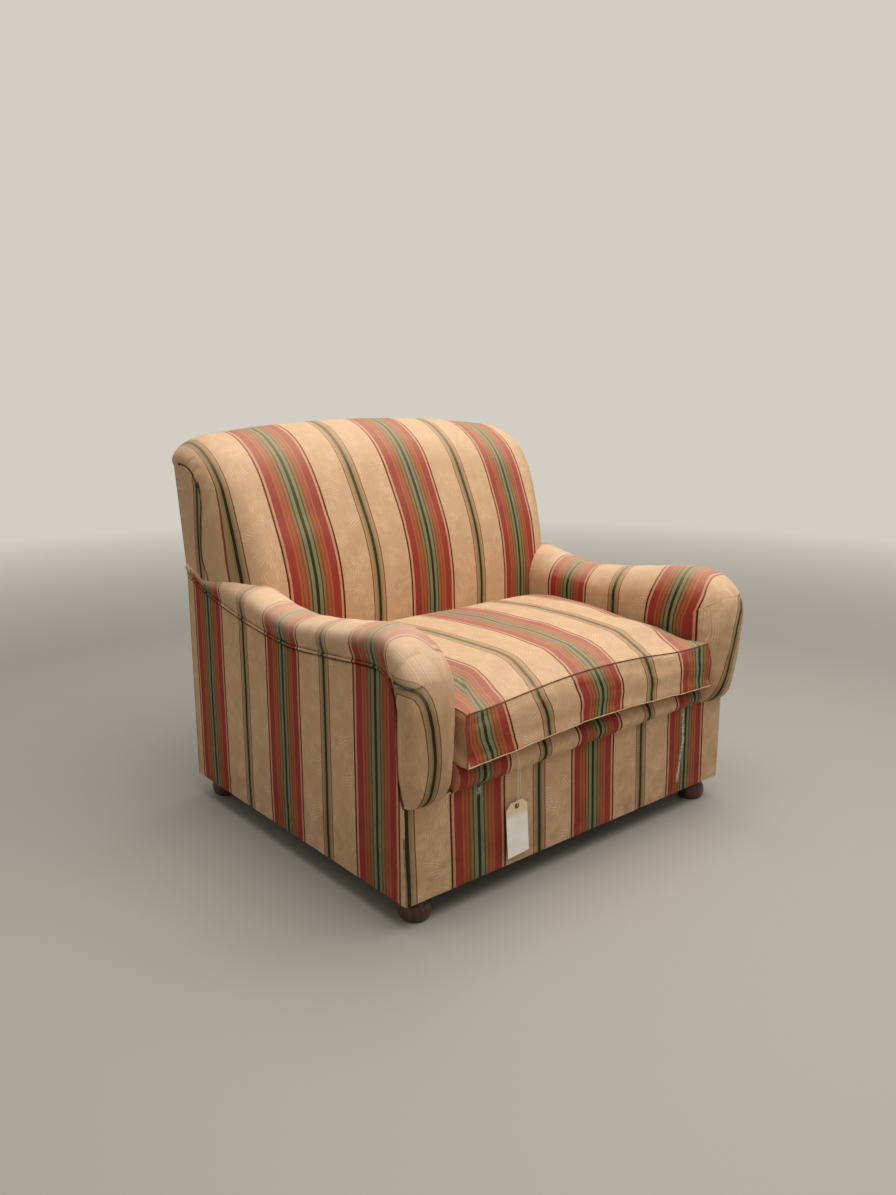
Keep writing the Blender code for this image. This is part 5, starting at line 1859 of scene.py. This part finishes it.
# %% Dark stained wood
def build_grain():
    group, given, result = start_group(
        "wood_grain",
        [
            ("Vector", "Place", None),
            ("Color", "Early Wood", srgb(120, 70, 40)),
            ("Color", "Late Wood", srgb(60, 30, 18)),
            ("Float", "Ring Count", 60.0),
        ],
        [("Color", "Colour"), ("Float", "Height")],
    )
    warped = add_node(
        group,
        "ShaderNodeTexWave",
        {
            "Vector": given["Place"],
            "Scale": given["Ring Count"],
            "Distortion": 3.0,
            "Detail": 2.0,
            "Detail Scale": 0.4,
        },
    ).outputs[1]
    fibres = noise_value(group, stretched(group, given["Place"], (1.0, 14.0, 14.0)), 60.0, 4.0, 0.7)
    mask = maths(group, "MULTIPLY_ADD", fibres, 0.5, maths(group, "MULTIPLY", warped, 0.5))
    group.links.new(blend_colours(group, mask, given["Late Wood"], given["Early Wood"]), result["Colour"])
    group.links.new(fibres, result["Height"])
    return group


grain_group = build_grain()


def wood(name, early, late, rings, roughness, coat=0.0):
    material, tree, shader = new_material(name)
    place = object_place(tree)
    grain = place_group(
        tree, grain_group, {"Place": place, "Early Wood": early, "Late Wood": late, "Ring Count": rings}
    )
    tree.links.new(grain["Colour"], shader.inputs["Base Color"])
    rough = remap(tree, grain["Height"], 0.3, 0.7, roughness - 0.08, roughness + 0.1)
    tree.links.new(rough, shader.inputs["Roughness"])
    shader.inputs["Coat Weight"].default_value = coat
    shader.inputs["Coat Roughness"].default_value = 0.25
    add_relief(tree, shader, grain["Height"], 0.25, 0.0004)
    return material


stained = wood("stained_foot_wood", srgb(96, 50, 28), srgb(46, 22, 13), 26.0, 0.42, 0.25)
beech = wood("beech_frame_wood", srgb(206, 164, 118), srgb(172, 126, 84), 14.0, 0.62)


# %% Turned feet
FOOT_STEPS = 56


def build_foot(node):
    low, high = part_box(node)
    radius = (high.x - low.x) / 2
    centre = (low + high) / 2
    top = high.z
    profile = [(0.029, top), (0.029, 0.0485), (0.0265, 0.0465), (0.0243, 0.0440), (0.0250, 0.0415)]
    profile += [(0.0300, 0.0370), (0.0335, 0.0310), (radius, 0.0220), (0.0342, 0.0130), (0.0310, 0.0050)]
    profile += [(0.0268, 0.0004), (0.0250, 0.0)]
    turns = np.linspace(0, 2 * math.pi, FOOT_STEPS, endpoint=False)
    rings = np.array(
        [[(centre.x + r * math.cos(t), centre.y + r * math.sin(t), z) for t in turns] for r, z in profile]
    )
    turn = np.linspace(0, 0.2, FOOT_STEPS + 1)
    cloth = np.stack(np.broadcast_arrays(turn[None], rings[:, :1, 2]), axis=2)
    return grid_cover(f"turned_{node}", rings, cloth, ring=True, ends=True)


for end in ("front", "back"):
    for name, _ in SIDES:
        foot = build_foot(f"{end}_{name}_foot")
        finish_cover(foot, [f"{end}_{name}_foot"], stained)


# %% [markdown]
# ## Card tag
#
# A blank manila tag with a fibre ring round its hole. Its solids are right as they are, so they only get
# their finish: mottled card that is tan round its hole and white below, and brown pressed fibre. The
# webbing, springs and rails inside the chair keep their solids too, with a finish for each.


# %% Finishes of the tag and of the frame
def tag_card():
    """Card that is white below and tan towards the top, round its hole."""
    material = mottled("manila_card", srgb(255, 252, 248), srgb(244, 236, 224), 0.03, 0.75)
    tree = material.node_tree
    shader = tree.nodes["Principled BSDF"]
    low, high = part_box("hang_tag")
    height = add_node(tree, "ShaderNodeSeparateXYZ", {0: object_place(tree)}).outputs[2]
    tan_toward_top = remap(tree, height, low.z + 0.68 * (high.z - low.z), low.z + 0.80 * (high.z - low.z))
    plain = shader.inputs["Base Color"].links[0].from_socket
    tree.links.new(blend_colours(tree, tan_toward_top, plain, srgb(238, 214, 176)), shader.inputs["Base Color"])
    return material


card = tag_card()
fibre = mottled("pressed_fibre", srgb(150, 84, 48), srgb(96, 48, 28), 0.002, 0.7)
cotton = mottled("cotton_twine", srgb(246, 240, 224), srgb(222, 210, 186), 0.002, 0.9)
steel = mottled("blued_spring_steel", srgb(132, 128, 120), srgb(70, 66, 60), 0.01, 0.45, 0.2, 0.9)
jute = mottled("jute_web", srgb(176, 142, 96), srgb(128, 98, 60), 0.004, 0.92, 0.8)
black = mottled("black_dust_cloth", srgb(34, 33, 32), srgb(16, 16, 16), 0.006, 0.95, 0.6)
string.data.materials.append(cotton)


def refinish(names, material):
    """Gives solids that stay as they are their finish."""
    for node in names:
        nodes[node].data.materials.clear()
        nodes[node].data.materials.append(material)
    print("refinished:", len(names))


refinish(["hang_tag"], card)
refinish(["tag_eyelet"], fibre)
refinish([node for node in nodes if node.endswith("_spring")], steel)
refinish(["seat_webbing", "back_webbing", "spring_canvas"], jute)
refinish([node for node in nodes if node.endswith(("_rail", "_block", "_post"))], beech)

# %% [markdown]
# ## Dust cloth
#
# A thin black cloth closes the underside. It is tacked round its edges and sags a few millimetres between
# them, which a product of two even curves gives without a simulation.

# %% Dust cloth under the seat
DUST_CLOTH_THICKNESS = 0.0008
DUST_CLOTH_SAG = 0.006


def build_dust_cloth():
    low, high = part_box("bottom_cloth")
    size = (high.x - low.x, high.y - low.y)
    xs = np.linspace(low.x, high.x, 70)
    ys = np.linspace(low.y, high.y, 60)
    x, y = np.meshgrid(xs, ys, indexing="ij")
    middle = (1 - (2 * (x - low.x) / size[0] - 1) ** 4) * (1 - (2 * (y - low.y) / size[1] - 1) ** 4)
    folds = 0.0015 * soft_noise(np.stack([x, y, 0 * x], axis=2).reshape(-1, 3), 0.09, 41.0).reshape(x.shape)
    z = low.z + 0.0002 - (DUST_CLOTH_SAG + folds) * middle
    grid = np.stack([x, y, z], axis=2)
    piece = thick_cover("dust_cloth", grid, (0, 0, DUST_CLOTH_THICKNESS), np.stack([x, y], axis=2))
    return piece, size


dust_cloth, dust_size = build_dust_cloth()
finish_cover(dust_cloth, ["bottom_cloth"], black)

# %% [markdown]
# ## Floor, light and background
#
# The light is a wide soft panel overhead, as in a studio, with a little light from all round. The floor is
# plain, and far from the chair it fades into the background. The background's own colour is shown to the
# camera only, so that it doesn't tint the cloth.

# %% Floor, world and lamp
FLOOR_COLOUR = srgb(172, 170, 164)
BACKGROUND = srgb(211, 206, 195)
FLOOR_HALF = 9
SURROUND_STRENGTH = 0.38
PANEL_WATTS = 95.0

floor_data = bpy.data.meshes.new("studio_floor")
floor_corners = [(FLOOR_HALF * x, FLOOR_HALF * y, 0) for x, y in ((-1, -1), (1, -1), (1, 1), (-1, 1))]
floor_data.from_pydata(floor_corners, [], [(0, 1, 2, 3)])
floor = in_scene("studio_floor", floor_data)
floor_material, tree, shader = new_material("studio_floor")
shader.inputs["Base Color"].default_value = FLOOR_COLOUR
shader.inputs["Roughness"].default_value = 0.6
distance = add_node(
    tree, "ShaderNodeVectorMath", {0: object_place(tree)}, operation="LENGTH"
).outputs["Value"]
far = remap(tree, distance, 2.0, 5.0)
glow = add_node(tree, "ShaderNodeEmission", {"Color": BACKGROUND, "Strength": 1.0})
seen = add_node(tree, "ShaderNodeLightPath").outputs["Is Camera Ray"]
share = maths(tree, "MULTIPLY", far, seen)
mixed = add_node(tree, "ShaderNodeMixShader", {0: share, 1: shader.outputs[0], 2: glow.outputs[0]})
tree.links.new(mixed.outputs[0], tree.nodes["Material Output"].inputs["Surface"])
floor_data.materials.append(floor_material)

world = bpy.data.worlds.new("studio")
bpy.context.scene.world = world
world.use_nodes = True
tree = world.node_tree
surround = tree.nodes["Background"]
surround.inputs["Color"].default_value = srgb(255, 248, 238)
surround.inputs["Strength"].default_value = SURROUND_STRENGTH
backdrop = add_node(tree, "ShaderNodeBackground", {"Color": BACKGROUND, "Strength": 1.0})
seen = add_node(tree, "ShaderNodeLightPath").outputs["Is Camera Ray"]
both = add_node(tree, "ShaderNodeMixShader", {0: seen, 1: surround.outputs[0], 2: backdrop.outputs[0]})
tree.links.new(both.outputs[0], tree.nodes["World Output"].inputs["Surface"])


def soft_panel(name, place, target, size, power, colour=(1.0, 0.96, 0.90)):
    lamp_data = bpy.data.lights.new(name, "AREA")
    lamp_data.shape = "RECTANGLE"
    lamp_data.size, lamp_data.size_y = size
    lamp_data.energy = power
    lamp_data.color = colour
    lamp = in_scene(name, lamp_data)
    lamp.location = place
    lamp.rotation_euler = (Vector(target) - Vector(place)).to_track_quat("-Z", "Y").to_euler()


soft_panel("ceiling_panel", (0.3, -0.6, 3.0), (0.0, 0.0, 0.4), (3.2, 3.2), PANEL_WATTS)

bpy.context.scene.view_settings.view_transform = "Standard"
print("materials:", len(bpy.data.materials))
